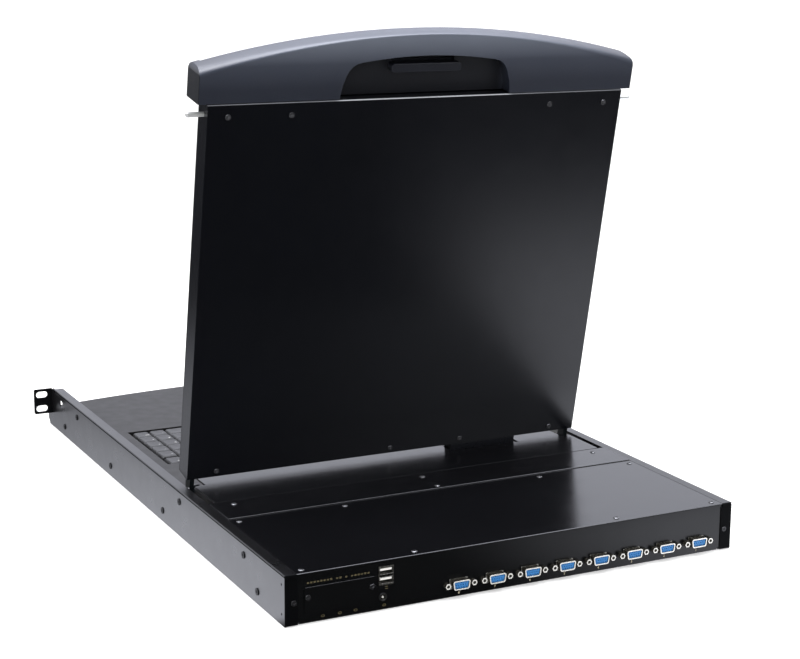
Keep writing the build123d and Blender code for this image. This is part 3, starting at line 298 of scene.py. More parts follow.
def screen(name):
    """switched-off panel behind an anti-glare film with its cell grid"""
    mat = Material(name)
    wave = mat.node("ShaderNodeTexWave", {"Scale": 1900, "Vector": mat.coord},
                    wave_type="BANDS", bands_direction="X")
    cells = mat.ramp(wave.outputs["Fac"], span=(0.2, 0.9))
    base = mat.mix(cells, (0.008, 0.009, 0.011), (0.014, 0.015, 0.019))
    base = mat.mix(mat.cloud(scale=6, span=(0.35, 0.7), to=(0, 0.5)), base, (0.012, 0.012, 0.018))
    mat.bump(mat.noise(scale=3600, detail=1), distance=0.000008)
    mat.set("Specular IOR Level", 0.55)
    return mat.done(base, mat.cloud(scale=40, detail=3, to=(0.19, 0.27)))


def handle_plastic(name):
    """display handle: fine grained blue-black plastic with painted light and shade: paler towards
    the top, painted shade on the ends and inside the finger recess
    """
    mat = Material(name)
    depth, height, across = mat.display_place()
    # rear face: painted highlight, paler towards the top in two steps
    low = mat.ramp(height, span=(0.370, 0.396))
    top = mat.ramp(height, span=(0.391, 0.412))
    color = mat.mix(low, (0.0125, 0.0155, 0.0260), (0.034, 0.040, 0.058))
    color = mat.mix(top, color, (0.105, 0.118, 0.150))
    # the part in front of the rear face, paler with height as painted highlight, then painted shade
    # on the outer ends
    band = mat.mix(mat.ramp(height, span=(0.392, 0.417)),
                   (0.016, 0.019, 0.028), (0.082, 0.092, 0.118))
    color = mat.mix(mat.ramp(depth, span=(0.0012, 0.0055)), color, band)
    color = mat.mix(mat.ramp(across, span=(0.2172, 0.2178)), color, (0.0035, 0.0040, 0.0050))
    # painted shade in the finger recess: deep, near the middle and below the top edge
    painted_recess_shade = mat.math("MULTIPLY", mat.ramp(depth, span=(0.004, 0.011)),
                      mat.ramp(across, span=(0.079, 0.084), to=(1.0, 0.0)))
    painted_recess_shade = mat.math("MULTIPLY", painted_recess_shade, mat.ramp(height, span=(0.3975, 0.3995), to=(1.0, 0.0)))
    color = mat.mix(painted_recess_shade, color, (0.0045, 0.0048, 0.0070))
    grain = mat.noise(scale=1400, rough=0.6)
    color = mat.mix(mat.ramp(grain, span=(0.35, 0.72), to=(0.0, 0.10)),
                    color, (0.060, 0.066, 0.085))
    drift = mat.cloud(scale=14, detail=3, span=(0.35, 0.7), to=(0.0, 0.12))
    color = mat.mix(drift, color, (0.012, 0.013, 0.020))
    gloss = mat.cloud(scale=80, detail=3, to=(0.33, 0.40))
    mat.bump(grain, distance=0.000012)
    return mat.done(color, gloss)


def display_coat(name):
    """satin powder coat of the display cover, with a painted highlight along its rounded upper edge
    """
    mat = Material(name)
    depth, height, across = mat.display_place()
    base = coat_color(mat, (0.0022, 0.0026, 0.0042), speck=0.25)
    # painted highlight on the rounded upper edge, mottled by a cloud
    painted_edge_highlight = mat.math("MULTIPLY", mat.ramp(height, span=(0.35755, 0.35790)),
                   mat.cloud(scale=30, detail=3, span=(0.2, 0.6), to=(0.75, 1.0)))
    painted_edge_highlight = mat.math("MULTIPLY", painted_edge_highlight, mat.ramp(depth, span=(0.0009, 0.0014), to=(1.0, 0.0)))
    # the painted highlight is brightest near the middle of the edge
    light = mat.mix(mat.ramp(across, span=(0.083, 0.090)), (0.42, 0.43, 0.46), (0.15, 0.155, 0.17))
    base = mat.mix(painted_edge_highlight, base, light)
    coat_skin(mat, peel=0.000009, grit=0.000005)
    return mat.done(base, mat.cloud(scale=55, detail=4, to=(0.23, 0.27)))


def rail_coat(name):
    """smooth satin black, darkened to near black by painted shade in the groove, on the mounting
    ear and the rear flange
    """
    mat = Material(name)
    x, y, z = mat.split(mat.coord)
    across = mat.absolute(x)
    base = coat_color(mat, (0.0058, 0.0058, 0.0066), speck=0.20)
    # painted shade: the groove, the mounting ear and the rear flange are made near black and less
    # shiny
    groove = mat.math("MULTIPLY", mat.ramp(z, span=(0.01993, 0.02000)),
                      mat.ramp(z, span=(0.02095, 0.02102), to=(1.0, 0.0)))
    groove = mat.math("MULTIPLY", groove, mat.ramp(across, span=(0.2188, 0.2190)))
    painted_shade = mat.math("MAXIMUM", groove, mat.ramp(across, span=(0.2201, 0.2203)))
    painted_shade = mat.math("MAXIMUM", painted_shade, mat.ramp(y, span=(0.6582, 0.6586)))
    base = mat.mix(painted_shade, base, (0.0012, 0.0014, 0.0018))
    mat.set("Specular IOR Level", mat.ramp(painted_shade, span=(0.0, 1.0), to=(0.5, 0.08)))
    coat_skin(mat, peel=0.000006, grit=0.000003)
    gloss = mat.cloud(scale=55, detail=4, to=(0.27, 0.31))
    return mat.done(base, mat.math("ADD", gloss, mat.math("MULTIPLY", painted_shade, 0.4)))


def screw_coat(name):
    """black oxide screw with a painted glint, pale and metallic, where the head turns down to its
    rim
    """
    mat = Material(name)
    x, y, z = mat.local_normal()
    side = mat.math("MAXIMUM", mat.absolute(x), mat.absolute(y))
    square = mat.math("MAXIMUM", side, mat.absolute(z))
    # painted glint on faces tilted off the main axes, the head's rim
    rim = mat.math("MULTIPLY", mat.ramp(square, span=(0.74, 0.94), to=(1.0, 0.0)),
                   mat.cloud(scale=260, detail=3, span=(0.35, 0.6), to=(0.40, 1.0)))
    base = mat.mix(mat.cloud(scale=420), (0.0065, 0.0066, 0.0075), (0.0130, 0.0132, 0.0150))
    base = mat.mix(rim, base, (0.40, 0.40, 0.42))
    mat.set("Metallic", mat.math("MULTIPLY", rim, 0.85))
    mat.bump(mat.noise(scale=1200), distance=0.000004)
    return mat.done(base, mat.cloud(scale=120, detail=3, to=(0.24, 0.36)))


def port_nickel(name):
    """nickel plate of the ports with painted light: bright on faces towards the rear, painted shade
    on the flanks
    """
    mat = Material(name)
    _, y, _ = mat.local_normal()
    # painted light and shade: faces towards the rear bright, the flanks dark
    painted_lit_side = mat.ramp(y, span=(0.30, 0.72))
    line = mat.noise(scale=60, detail=3, rough=0.6, vector=mat.stretched((20, 20, 20)))
    face = mat.mix(mat.ramp(line), (0.76, 0.745, 0.70), (0.90, 0.885, 0.84))
    flank = mat.mix(mat.cloud(scale=420, span=(0.35, 0.7)),
                    (0.120, 0.112, 0.092), (0.230, 0.215, 0.180))
    base = mat.mix(painted_lit_side, flank, face)
    mat.set("Metallic", mat.ramp(painted_lit_side, span=(0.0, 1.0), to=(0.85, 0.35)))
    mat.bump(line, distance=0.000008)
    return mat.done(base, mat.ramp(line, to=(0.19, 0.30)))


def neck_coat(name):
    """cover of the cable neck: display coat on the faces, unlit black on the two flanks"""
    mat = Material(name)
    x, _, _ = mat.world_normal()
    flank = mat.ramp(mat.absolute(x), span=(0.6, 0.8))
    base = coat_color(mat, (0.0105, 0.0112, 0.0140), speck=0)
    base = mat.mix(flank, base, (0.0012, 0.0013, 0.0016))
    mat.set("Specular IOR Level", mat.ramp(flank, span=(0.0, 1.0), to=(0.5, 0.03)))
    coat_skin(mat, peel=0.000009, grit=0.000005)
    return mat.done(base, mat.cloud(scale=55, detail=4, to=(0.25, 0.30)))


# ------------------------------------------------------------------ material table
SATIN = dict(peel=0.000006, grit=0.000003)  # the smoothest powder skin
PLATED = dict(stretch=(60, 1, 60))  # grain along Y

MATERIALS = {
    "rail": rail_coat("rail_powder"),
    "cover": powder("cover_powder", (0.0042, 0.0043, 0.0054), rough=0.19, **SATIN),
    "deck": powder("deck_powder", (0.0050, 0.0051, 0.0062), rough=0.20, **SATIN),
    "panel": powder("panel_powder", (0.0024, 0.0026, 0.0030), rough=0.25,
                    peel=0.000012, grit=0.000006),
    "pan": powder("pan_powder", (0.0070, 0.0070, 0.0078), rough=0.38, dust=0.004),
    # spare finish, worn by no piece
    "display": powder("display_powder", (0.0042, 0.0046, 0.0062), rough=0.30,
                      peel=0.000009, grit=0.000005),
    "display_cover": display_coat("display_cover_powder"),
    "neck": neck_coat("neck_powder"),
    "arm": powder("arm_powder", (0.0060, 0.0085, 0.0095), rough=0.30,
                  peel=0.000015, grit=0.000008),
    "handle": handle_plastic("handle_plastic"),
    "recess": moulded("recess_plastic", (0.0085, 0.0095, 0.0140), rough=0.34, spark=0.000012),
    "palm": moulded("palm_plastic", (0.0165, 0.0160, 0.0160), rough=0.50, spec=0.20, tint=0.04),
    "pad": moulded("pad_plastic", (0.030, 0.030, 0.033), rough=0.40, spark=0.000008),
    "keys": moulded("key_plastic", (0.040, 0.040, 0.042), rough=0.46, spark=0.00002, spec=0.24),
    "bezel": moulded("bezel_plastic", (0.018, 0.018, 0.020), rough=0.44, spark=0.00002),
    "button": moulded("button_plastic", (0.045, 0.045, 0.05), rough=0.38, spark=0.000012),
    "zinc": metal("zinc_plate", (0.66, 0.66, 0.63), rough=0.30, **PLATED,
                  tint=(0.72, 0.66, 0.45), tint_amount=0.10),
    "black_zinc": metal("black_zinc_plate", (0.022, 0.022, 0.023), rough=0.46, **PLATED,
                        tint=(0.034, 0.032, 0.026), tint_amount=0.2, metallic=0.4),
    "pin": metal("pin_steel", (0.74, 0.75, 0.74), rough=0.18, stretch=(1, 50, 50), scale=90,
                 tint_amount=0.05, metallic=0.6),
    "raw": metal("raw_steel", (0.48, 0.48, 0.49), rough=0.34, stretch=(50, 50, 1)),
    "module": metal("module_steel", (0.60, 0.61, 0.62), rough=0.34, stretch=(1, 50, 50)),
    "nickel": port_nickel("nickel_shell"),
    "shell": metal("steel_shell", (0.20, 0.195, 0.18), rough=0.26, stretch=(20, 20, 20),
                   tint=(0.28, 0.26, 0.22), tint_amount=0.18, metallic=0.85),
    "dark_head": powder("dark_head_powder", (0.0016, 0.0016, 0.0018), rough=0.50,
                        spec=0.2, **SATIN),
    "blue": moulded("port_blue", (0.024, 0.165, 0.43), rough=0.34, tint=0.06),
    "black": moulded("black_plastic", (0.008, 0.008, 0.009), rough=0.36),
    "white": moulded("white_plastic", (0.72, 0.71, 0.67), rough=0.42),
    "screw": screw_coat("black_oxide"),
    "pcb": board("circuit_board"),
    "chip": chip_epoxy("chip_epoxy"),
    "screen": screen("screen_film"),
    "legend": printed("legend_white", (0.88, 0.88, 0.87)),
    "port_print": printed("port_print", (0.66, 0.58, 0.40)),
    "faded_gold": printed("faded_gold", (0.085, 0.068, 0.026)),
}


# ------------------------------------------------------------------ finish of the CAD pieces


def by_piece(table):
    """turn {value: "piece piece ..."} into {piece: value}"""
    return {piece: value for value, pieces in table.items() for piece in pieces.split()}


SETTING_BUTTONS = ("setting_button_power setting_button_menu "
                   "setting_button_up setting_button_down")

LOOK = by_piece({
    "rail": "side_rail_right side_rail_left",
    "pan": "base_pan bay_wall drawer_tray",
    "zinc": "rail_stiffeners board_standoffs hinge_screws "
            "slide_outer_members slide_middle_members slide_inner_members",
    "panel": "rear_panel slot_cover_plate",
    "cover": "rear_cover",
    "deck": "strip_cover hinge_deck",
    "screw": "cover_screws rear_screws lcd_screws",
    "dark_head": "side_screws",
    "pcb": "switch_board console_board keyboard_circuit lcd_board",
    "chip": "board_chips",
    "nickel": "vga_shells vga_standoffs",
    "blue": "vga_inserts",
    "shell": "usb_shell",
    "white": "usb_tongues",
    "black": "dc_jack",
    "pin": "slide_balls hinge_pins lock_pin_right lock_pin_left",
    "arm": "hinge_brackets hinge_arms",
    "palm": "palm_rest touchpad_button_left touchpad_button_right",
    "pad": "touchpad",
    "black_zinc": "keyboard_plate",
    "keys": "spacebar typing_keys arrow_keys function_keys numpad_keys",
    "display_cover": "lcd_rear_cover",
    "module": "lcd_module",
    "screen": "lcd_glass",
    "handle": "handle_shell",
    "bezel": "lcd_bezel",
    "button": SETTING_BUTTONS,
    "neck": "cable_cover",
    "recess": "release_lever",
    "raw": "pin_guides pin_springs",
})

# Edge break in mm, 0 for none
DEFAULT_EDGE = 0.15
EDGE = by_piece({
    0: "slide_balls pin_springs",
    0.05: "lcd_glass switch_board",
    0.08: "usb_tongues",
    0.10: "vga_inserts usb_shell",
    0.12: "vga_shells lock_pin_right lock_pin_left",
    0.14: "side_rail_right side_rail_left",
    0.18: "strip_cover cover_screws side_screws rear_screws lcd_screws hinge_screws",
    0.2: "dc_jack touchpad",
    0.22: "vga_standoffs",
    0.25: "rear_panel rear_cover slot_cover_plate",
    0.3: "lcd_bezel hinge_deck",
    0.35: "palm_rest " + SETTING_BUTTONS,
    0.4: "release_lever",
    0.45: "lcd_rear_cover",
    0.6: "touchpad_button_left touchpad_button_right cable_cover",
    0.9: "handle_shell",
})


def smooth_group(name, merge):
    """geometry nodes: smooth faces, sharp edges over 50 degrees, merging close points first"""
    group = bpy.data.node_groups.new(name, "GeometryNodeTree")
    for direction in ("INPUT", "OUTPUT"):
        group.interface.new_socket("Geometry", in_out=direction,
                                   socket_type="NodeSocketGeometry")
    nodes = Nodes(group)
    entry = nodes.node("NodeGroupInput")
    leave = nodes.node("NodeGroupOutput")
    flow = entry.outputs[0]
    if merge:
        welded = nodes.node("GeometryNodeMergeByDistance", {"Distance": 2e-6, "Geometry": flow})
        flow = welded.outputs["Geometry"]
    faces = nodes.node("GeometryNodeSetShadeSmooth", {"Shade Smooth": True, "Geometry": flow},
                       domain="FACE")
    edges = nodes.node("GeometryNodeSetShadeSmooth",
                       {"Shade Smooth": False, "Geometry": faces.outputs["Geometry"]},
                       domain="EDGE")
    angle = nodes.node("GeometryNodeInputMeshEdgeAngle")
    sharp = nodes.node("FunctionNodeCompare",
                       {0: angle.outputs["Unsigned Angle"], 1: math.radians(50)},
                       data_type="FLOAT", operation="GREATER_THAN")
    nodes.feed(edges.inputs["Selection"], sharp.outputs["Result"])
    nodes.feed(leave.inputs[0], edges.outputs["Geometry"])
    return group


WELD = smooth_group("weld_faces", merge=True)
SHADE = smooth_group("shade_by_angle", merge=False)


def finish_node(name):
    """material, edge break and shading of one CAD piece"""
    piece = NODES[name]
    piece.data.materials.clear()
    piece.data.materials.append(MATERIALS[LOOK[name]])
    attributes = piece.data.attributes
    if "custom_normal" in attributes:
        attributes.remove(attributes["custom_normal"])
    piece.modifiers.new("weld", "NODES").node_group = WELD
    planar = piece.modifiers.new("planar", "DECIMATE")
    planar.decimate_type = "DISSOLVE"
    planar.angle_limit = math.radians(0.35)
    planar.use_dissolve_boundaries = False
    width = EDGE.get(name, DEFAULT_EDGE)
    if width:
        bevel = piece.modifiers.new("edges", "BEVEL")
        bevel.width = width * MM
        bevel.segments = 2
        bevel.limit_method = "ANGLE"
        bevel.angle_limit = math.radians(38)
        bevel.use_clamp_overlap = True
        bevel.miter_outer = "MITER_SHARP"
    piece.modifiers.new("shade", "NODES").node_group = SHADE
    normals = piece.modifiers.new("normals", "WEIGHTED_NORMAL")
    normals.keep_sharp = True
    normals.weight = 60


# ------------------------------------------------------------------ mesh helpers


def make_piece(name, bm, look, body, replaces=None, smooth=True):
    mesh = bpy.data.meshes.new(name)
    bm.normal_update()
    bm.to_mesh(mesh)
    bm.free()
    mesh.materials.append(MATERIALS[look])
    if smooth:
        mesh.polygons.foreach_set("use_smooth", [True] * len(mesh.polygons))
        mesh.set_sharp_from_angle(angle=math.radians(42))
    piece = bpy.data.objects.new(name, mesh)
    bpy.context.scene.collection.objects.link(piece)
    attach(piece, body)
    if replaces:
        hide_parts(replaces)


def ring(bm, points):
    """vertices at points given in mm"""
    return [bm.verts.new((x * MM, y * MM, z * MM)) for x, y, z in points]


def bridge(bm, first, second):
    count = len(first)
    for i in range(count):
        j = (i + 1) % count
        bm.faces.new((first[i], first[j], second[j], second[i]))


def loft(bm, rings):
    for first, second in zip(rings, rings[1:]):
        bridge(bm, first, second)


def slab(bm, low, high):
    """closed plate between two outlines"""
    low, high = ring(bm, low), ring(bm, high)
    bridge(bm, low, high)
    bm.faces.new(list(reversed(low)))
    bm.faces.new(high)


def turn(count):
    """angles of count even steps round a circle"""
    return [2 * math.pi * k / count for k in range(count)]


def rounded(x0, x1, y0, y1, radius, segments):
    """counter-clockwise rounded rectangle"""
    corners = ((x1 - radius, y0 + radius, -90), (x1 - radius, y1 - radius, 0),
               (x0 + radius, y1 - radius, 90), (x0 + radius, y0 + radius, 180))
    points = []
    for x, y, start in corners:
        for k in range(segments + 1):
            angle = math.radians(start + 90 * k / segments)
            points.append((x + radius * math.cos(angle), y + radius * math.sin(angle)))
    return points


GLYPH_EXTRUDE = 0.03
GLYPH_MESHES = {}


def glyphs(text):
    """outline mesh of a short legend, centred, at font size 1"""
    if text not in GLYPH_MESHES:
        curve = bpy.data.curves.new("legend_tmp", "FONT")
        curve.body = text
        curve.size = 1.0
        curve.resolution_u = 2
        curve.extrude = GLYPH_EXTRUDE
        curve.align_x = "CENTER"
        curve.align_y = "CENTER"
        holder = bpy.data.objects.new("legend_tmp", curve)
        bpy.context.scene.collection.objects.link(holder)
        bpy.context.view_layer.update()
        evaluated = holder.evaluated_get(bpy.context.evaluated_depsgraph_get())
        GLYPH_MESHES[text] = bpy.data.meshes.new_from_object(evaluated)
        bpy.data.objects.remove(holder)
    return GLYPH_MESHES[text]


def put_text(bm, text, size, place):
    """place: 4x4 whose x, y span the printed face and z leaves it"""
    mesh = glyphs(text)
    start = len(bm.verts)
    bm.from_mesh(mesh)
    bm.verts.ensure_lookup_table()
    scale = Matrix.Diagonal((size * MM, size * MM, PRINT_RISE * MM / GLYPH_EXTRUDE, 1))
    for vert in bm.verts[start:]:
        vert.co = place @ (scale @ vert.co)


# ------------------------------------------------------------------ keyboard
KEYS_HALF_X = 170.3  # the keys fill this on either side of the middle
KEY_PITCH = 2 * KEYS_HALF_X / 19.0  # nineteen key units across
BAY_FRONT = 125.0
BAY_GAP = 1.0
ROW_PITCH = 19.6
FUNCTION_ROW, FUNCTION_GAP, FUNCTION_DEPTH = 5, 4.0, 20.4
ROW_DEPTH = [ROW_PITCH] * FUNCTION_ROW + [FUNCTION_DEPTH]
ROW_Y = [BAY_FRONT + BAY_GAP + ROW_PITCH * (k + 0.5) for k in range(FUNCTION_ROW)]
ROW_Y.append(BAY_FRONT + BAY_GAP + ROW_PITCH * FUNCTION_ROW + FUNCTION_GAP + FUNCTION_DEPTH / 2)
KEY_GAP = 0.55  # from the edge of a key's cell to its cap
KEY_TOP, KEY_BOTTOM = -3.6, -9.7
INK_LOW, INK_HIGH = KEY_TOP - 0.12, KEY_TOP + 0.02

# Cap profile: inset in x, inset at the front, corner radius, z
REAR_INSET = 1.5  # the rear is inset by this times the front
CAP_PROFILE = [
    (0.0, 0.0, 0.5, KEY_BOTTOM),
    (0.0, 0.0, 0.7, -6.2),
    (0.25, 0.2, 0.9, -5.2),
    (0.85, 0.7, 1.5, -4.25),
    (1.25, 1.05, 2.0, KEY_TOP - 0.12),
    (1.55, 1.35, 2.2, KEY_TOP),
]
# Dish rings: share of the rim's size, depth below the top
DISH = ((0.8, 0.10), (0.5, 0.24), (0.2, 0.31))
DISH_SLOPE = 8.0  # in x the dish slopes over this length at most
FLAT_OVER = 60  # wider keys have a flat top

# Arrow pointing to +X, as (x, y) about its centre
ARROW = [(-1.9, -0.35), (0.1, -0.35), (0.1, -1.3), (1.9, 0.0), (0.1, 1.3), (0.1, 0.35),
         (-1.9, 0.35)]

# Rows from the front: key edges in key units (None leaves a gap), then one letter per key,
# where a blank stands for a printed bar
TYPING_ROWS = [
    ([0, 1.25, 2.5, 3.75, None, 9.5, 10.75, 12.0], "     "),
    ([0, *[k + 2.25 for k in range(11)], 13.0], " ZXCVBNM,./ "),
    ([0, *[k + 1.75 for k in range(12)], 15.0], " ASDFGHJKL;' "),
    ([0, *[k + 1.5 for k in range(13)], 15.0], " QWERTYUIOP[] "),
    ([*range(14), 15.0], "`1234567890-= "),
]
# Right-hand block, rows from the front; the first two cells hold the wide 0 key
NUMPAD_START = 15
NUMPAD_ROWS = ["  . ", "123+", "456+", "789-", " /*-", "    "]


def key_box(start, end, row):
    """x0, x1, y0, y1 of the cap between two edges in key units"""
    return (-KEYS_HALF_X + start * KEY_PITCH + KEY_GAP,
            -KEYS_HALF_X + end * KEY_PITCH - KEY_GAP,
            ROW_Y[row] - ROW_DEPTH[row] / 2 + KEY_GAP,
            ROW_Y[row] + ROW_DEPTH[row] / 2 - KEY_GAP)


def keycap(bm, box):
    """cap with rounded shoulders and a dished top"""
    x0, x1, y0, y1 = box
    rings = []
    for inset_x, inset_y, radius, z in CAP_PROFILE:
        outline = rounded(x0 + inset_x, x1 - inset_x, y0 + inset_y, y1 - inset_y * REAR_INSET,
                          radius, segments=4)
        rings.append(ring(bm, [(x, y, z) for x, y in outline]))
    loft(bm, rings)
    bm.faces.new(list(reversed(rings[0])))
    rim = last = rings[-1]
    mid_x, mid_y = (x0 + x1) / 2, (y0 + y1) / 2
    slope = min(1.0, DISH_SLOPE / ((x1 - x0) / 2))
    for share, depth in DISH:
        if x1 - x0 > FLAT_OVER:
            depth = 0.0
        points = [(mid_x + (vert.co.x / MM - mid_x) * (1 - (1 - share) * slope),
                   mid_y + (vert.co.y / MM - mid_y) * share,
                   KEY_TOP - depth) for vert in rim]
        inner = ring(bm, points)
        bridge(bm, last, inner)
        last = inner
    bm.faces.new(last)


def key_slab(bm, outline):
    """ink standing through the key's top"""
    slab(bm, [(x, y, INK_LOW) for x, y in outline], [(x, y, INK_HIGH) for x, y in outline])


def legend(bm, box, text, size=4.2, shift_x=-0.24, shift_y=0.18):
    """letter at the key's left; shifts are shares of the cap, counting at most 17 mm in x"""
    x0, x1, y0, y1 = box
    span = min(x1 - x0, 17.0)
    x = x0 + span / 2 + shift_x * span
    y = (y0 + y1) / 2 + shift_y * (y1 - y0)
    put_text(bm, text, size, Matrix.Translation((x * MM, y * MM, (KEY_TOP - 0.03) * MM)))


def key_bar(bm, box, length):
    """plain printed bar that stands for a word legend"""
    x0, _, _, y1 = box
    start, middle = x0 + 2.6, y1 - 5.2
    key_slab(bm, rounded(start, start + length, middle - 0.45, middle + 0.45, 0.3, segments=2))


def arrow(bm, box, angle):
    x0, x1, y0, y1 = box
    mid_x, mid_y = (x0 + x1) / 2 - 2.4, (y0 + y1) / 2 + 2.2
    cosine, sine = math.cos(angle), math.sin(angle)
    key_slab(bm, [(mid_x + x * cosine - y * sine, mid_y + x * sine + y * cosine)
                  for x, y in ARROW])


def add_key(caps, ink, box, label, bar_length, **style):
    """cap with a letter, or with a bar where the label is blank"""
    keycap(caps, box)
    if label == " ":
        key_bar(ink, box, bar_length)
    else:
        legend(ink, box, label, **style)


def make_keys(group, caps, ink):
    node = group + "_keys"
    make_piece(group + "_caps", caps, "keys", node, replaces=node)
    make_piece(group + "_legends", ink, "legend", node, smooth=False)


def build_typing_keys():
    caps, ink = bmesh.new(), bmesh.new()
    for row, (edges, labels) in enumerate(TYPING_ROWS):
        cells = [pair for pair in zip(edges, edges[1:]) if None not in pair]
        for (start, end), label in zip(cells, labels):
            bar_length = 4.2 if end - start < 1.4 else 6.0
            add_key(caps, ink, key_box(start, end, row), label, bar_length)
    make_keys("typing", caps, ink)


def build_spacebar():
    caps = bmesh.new()
    keycap(caps, key_box(3.75, 9.5, 0))
    make_piece("space_cap", caps, "keys", "spacebar", replaces="spacebar")


def build_function_keys():
    caps, ink = bmesh.new(), bmesh.new()
    for k in range(15):
        label = f"F{k}" if 1 <= k <= 12 else " "
        add_key(caps, ink, key_box(k, k + 1, FUNCTION_ROW), label, bar_length=4.6,
                size=3.6, shift_x=-0.2, shift_y=0.15)
    make_keys("function", caps, ink)


def build_arrow_keys():
    caps, ink = bmesh.new(), bmesh.new()
    # first edge in key units, row, direction of the arrow
    for start, row, angle in ((12, 0, math.pi), (13, 0, -math.pi / 2), (14, 0, 0),
                              (13, 1, math.pi / 2)):
        box = key_box(start, start + 1, row)
        keycap(caps, box)
        arrow(ink, box, angle)
    add_key(caps, ink, key_box(14, 15, 1), " ", bar_length=4.2)
    make_keys("arrow", caps, ink)


def build_numpad():
    caps, ink = bmesh.new(), bmesh.new()
    style = dict(bar_length=4.4, size=4.6)
    for row, labels in enumerate(NUMPAD_ROWS):
        for k, label in enumerate(labels):
            if row == 0 and k < 2:
                continue
            start = NUMPAD_START + k
            add_key(caps, ink, key_box(start, start + 1, row), label, **style)
    add_key(caps, ink, key_box(NUMPAD_START, NUMPAD_START + 2, 0), "0", **style)
    make_keys("numpad", caps, ink)


# ------------------------------------------------------------------ coil springs of the lock pins
SPRING_INNER_X, SPRING_OUTER_X = 178.2, 188.4
SPRING_HEIGHT, SPRING_DEPTH = 348.0, 9.5  # up the display, in front of its rear face
SPRING_RADIUS, WIRE_RADIUS = 2.6, 0.38
SPRING_TURNS, STEPS_PER_TURN, WIRE_SIDES = 6, 20, 8


def display_point(x, height, depth):
    """point in mm, height up the display and depth in front of its rear face"""
    return DISPLAY_ORIGIN + Vector((x, 0, 0)) + DISPLAY_UP * height - DISPLAY_REAR * depth


def coil(bm, x0, x1):
    steps = SPRING_TURNS * STEPS_PER_TURN
    loops = []
    for i in range(steps + 1):
        share = i / steps
        angle = 2 * math.pi * SPRING_TURNS * share
        cosine, sine = math.cos(angle), math.sin(angle)
        centre = (display_point(x0 + (x1 - x0) * share, SPRING_HEIGHT, SPRING_DEPTH)
                  + DISPLAY_UP * SPRING_RADIUS * cosine + DISPLAY_REAR * SPRING_RADIUS * sine)
        radial = DISPLAY_UP * cosine + DISPLAY_REAR * sine
        axial = Vector((1, 0, 0))
        loops.append([
            bm.verts.new((centre + (radial * math.cos(b) + axial * math.sin(b)) * WIRE_RADIUS) * MM)
            for b in turn(WIRE_SIDES)])
    loft(bm, loops)
    bm.faces.new(list(reversed(loops[0])))
    bm.faces.new(loops[-1])


def build_springs():
    bm = bmesh.new()
    for side in (1, -1):
        coil(bm, side * SPRING_INNER_X, side * SPRING_OUTER_X)
    bmesh.ops.recalc_face_normals(bm, faces=bm.faces)
    make_piece("coil_springs", bm, "raw", BODY_OF["pin_springs"],
               replaces="pin_springs")


# ------------------------------------------------------------------ print on the rear panel
PORT_COUNT, FIRST_PORT_X, PORT_PITCH = 8, 60.6, 34.8
NUMBER_Z, NUMBER_SIZE = -18.6, 3.3

BAR_START_X, BAR_Z = 200.4, 11.9
BAR_WIDTH, BAR_PITCH, GROUP_GAP = 2.0, 2.95, 2.3
BAR_GROUPS = (8, 2, 1, 6)
BAR_HEIGHTS = (1.35, 1.6, 1.45)  # repeated within each group

LOZENGE_XS, LOZENGE_Z = (186.3, 171.1, 156.9, 130.9), -17.7
LOZENGE_HALF_X, LOZENGE_HALF_Z = 1.7, 1.15
LOZENGE_HOLE_X, LOZENGE_HOLE_Z = 0.62, 0.55  # hole as a share of the outline
DASH_X0, DASH_X1, DASH_ZS, DASH_HALF_Z = 127.3, 130.3, (-1.75, -3.6), 0.3


def print_bar(bm, x0, x1, z0, z1):
    """thin printed bar with rounded corners"""
    outline = rounded(x0, x1, z0, z1, min(x1 - x0, z1 - z0) * 0.3, segments=3)
    slab(bm, [(x, PANEL_Y, z) for x, z in outline],
         [(x, PANEL_Y + PRINT_RISE, z) for x, z in outline])


def lozenge(bm, middle_x):
    """oval printed ring"""
    def loop(y, share_x, share_z):
        return ring(bm, [(middle_x + LOZENGE_HALF_X * share_x * math.cos(a), y,
                          LOZENGE_Z + LOZENGE_HALF_Z * share_z * math.sin(a)) for a in turn(14)])

    hole = (LOZENGE_HOLE_X, LOZENGE_HOLE_Z)
    loops = [loop(PANEL_Y, 1, 1), loop(PANEL_Y + PRINT_RISE, 1, 1),
             loop(PANEL_Y + PRINT_RISE, *hole), loop(PANEL_Y, *hole)]
    loft(bm, loops + loops[:1])


def build_port_numbers():
    bm = bmesh.new()
    # text runs towards -X, stands up along Z and faces +Y
    facing = Matrix(((-1, 0, 0), (0, 0, 1), (0, 1, 0))).transposed().to_4x4()
    for i in range(PORT_COUNT):
        place = facing.copy()
        place.translation = Vector(((FIRST_PORT_X - PORT_PITCH * i) * MM, PANEL_Y * MM,
                                    NUMBER_Z * MM))
        put_text(bm, str(PORT_COUNT - i), NUMBER_SIZE, place)
    make_piece("port_numbers", bm, "port_print", "chassis", smooth=False)


def build_panel_marks():
    """bars above the blank plate and symbols under the sockets"""
    bm = bmesh.new()
    x = BAR_START_X
    for count in BAR_GROUPS:
        for k in range(count):
            print_bar(bm, x - BAR_WIDTH, x, BAR_Z, BAR_Z + BAR_HEIGHTS[k % 3])
            x -= BAR_PITCH
        x -= GROUP_GAP
    for x in LOZENGE_XS:
        lozenge(bm, x)
    for z in DASH_ZS:
        print_bar(bm, DASH_X0, DASH_X1, z - DASH_HALF_Z, z + DASH_HALF_Z)
    make_piece("panel_marks", bm, "faded_gold", "chassis", smooth=False)


# ------------------------------------------------------------------ power inlet
JACK_X, JACK_Z = 132.0, -10.6
# Profiles: radius, y
SLEEVE_PROFILE = [(2.70, 652.0), (2.70, 658.5), (2.62, 658.75), (2.40, 658.75), (2.32, 658.5),
                  (2.32, 652.0)]
PIN_PROFILE = [(1.08, 649.8), (1.08, 657.6), (0.98, 658.05), (0.70, 658.3)]


def jack_loops(bm, profile):
    return [ring(bm, [(JACK_X + radius * math.cos(a), y, JACK_Z + radius * math.sin(a))
                      for a in turn(32)]) for radius, y in profile]


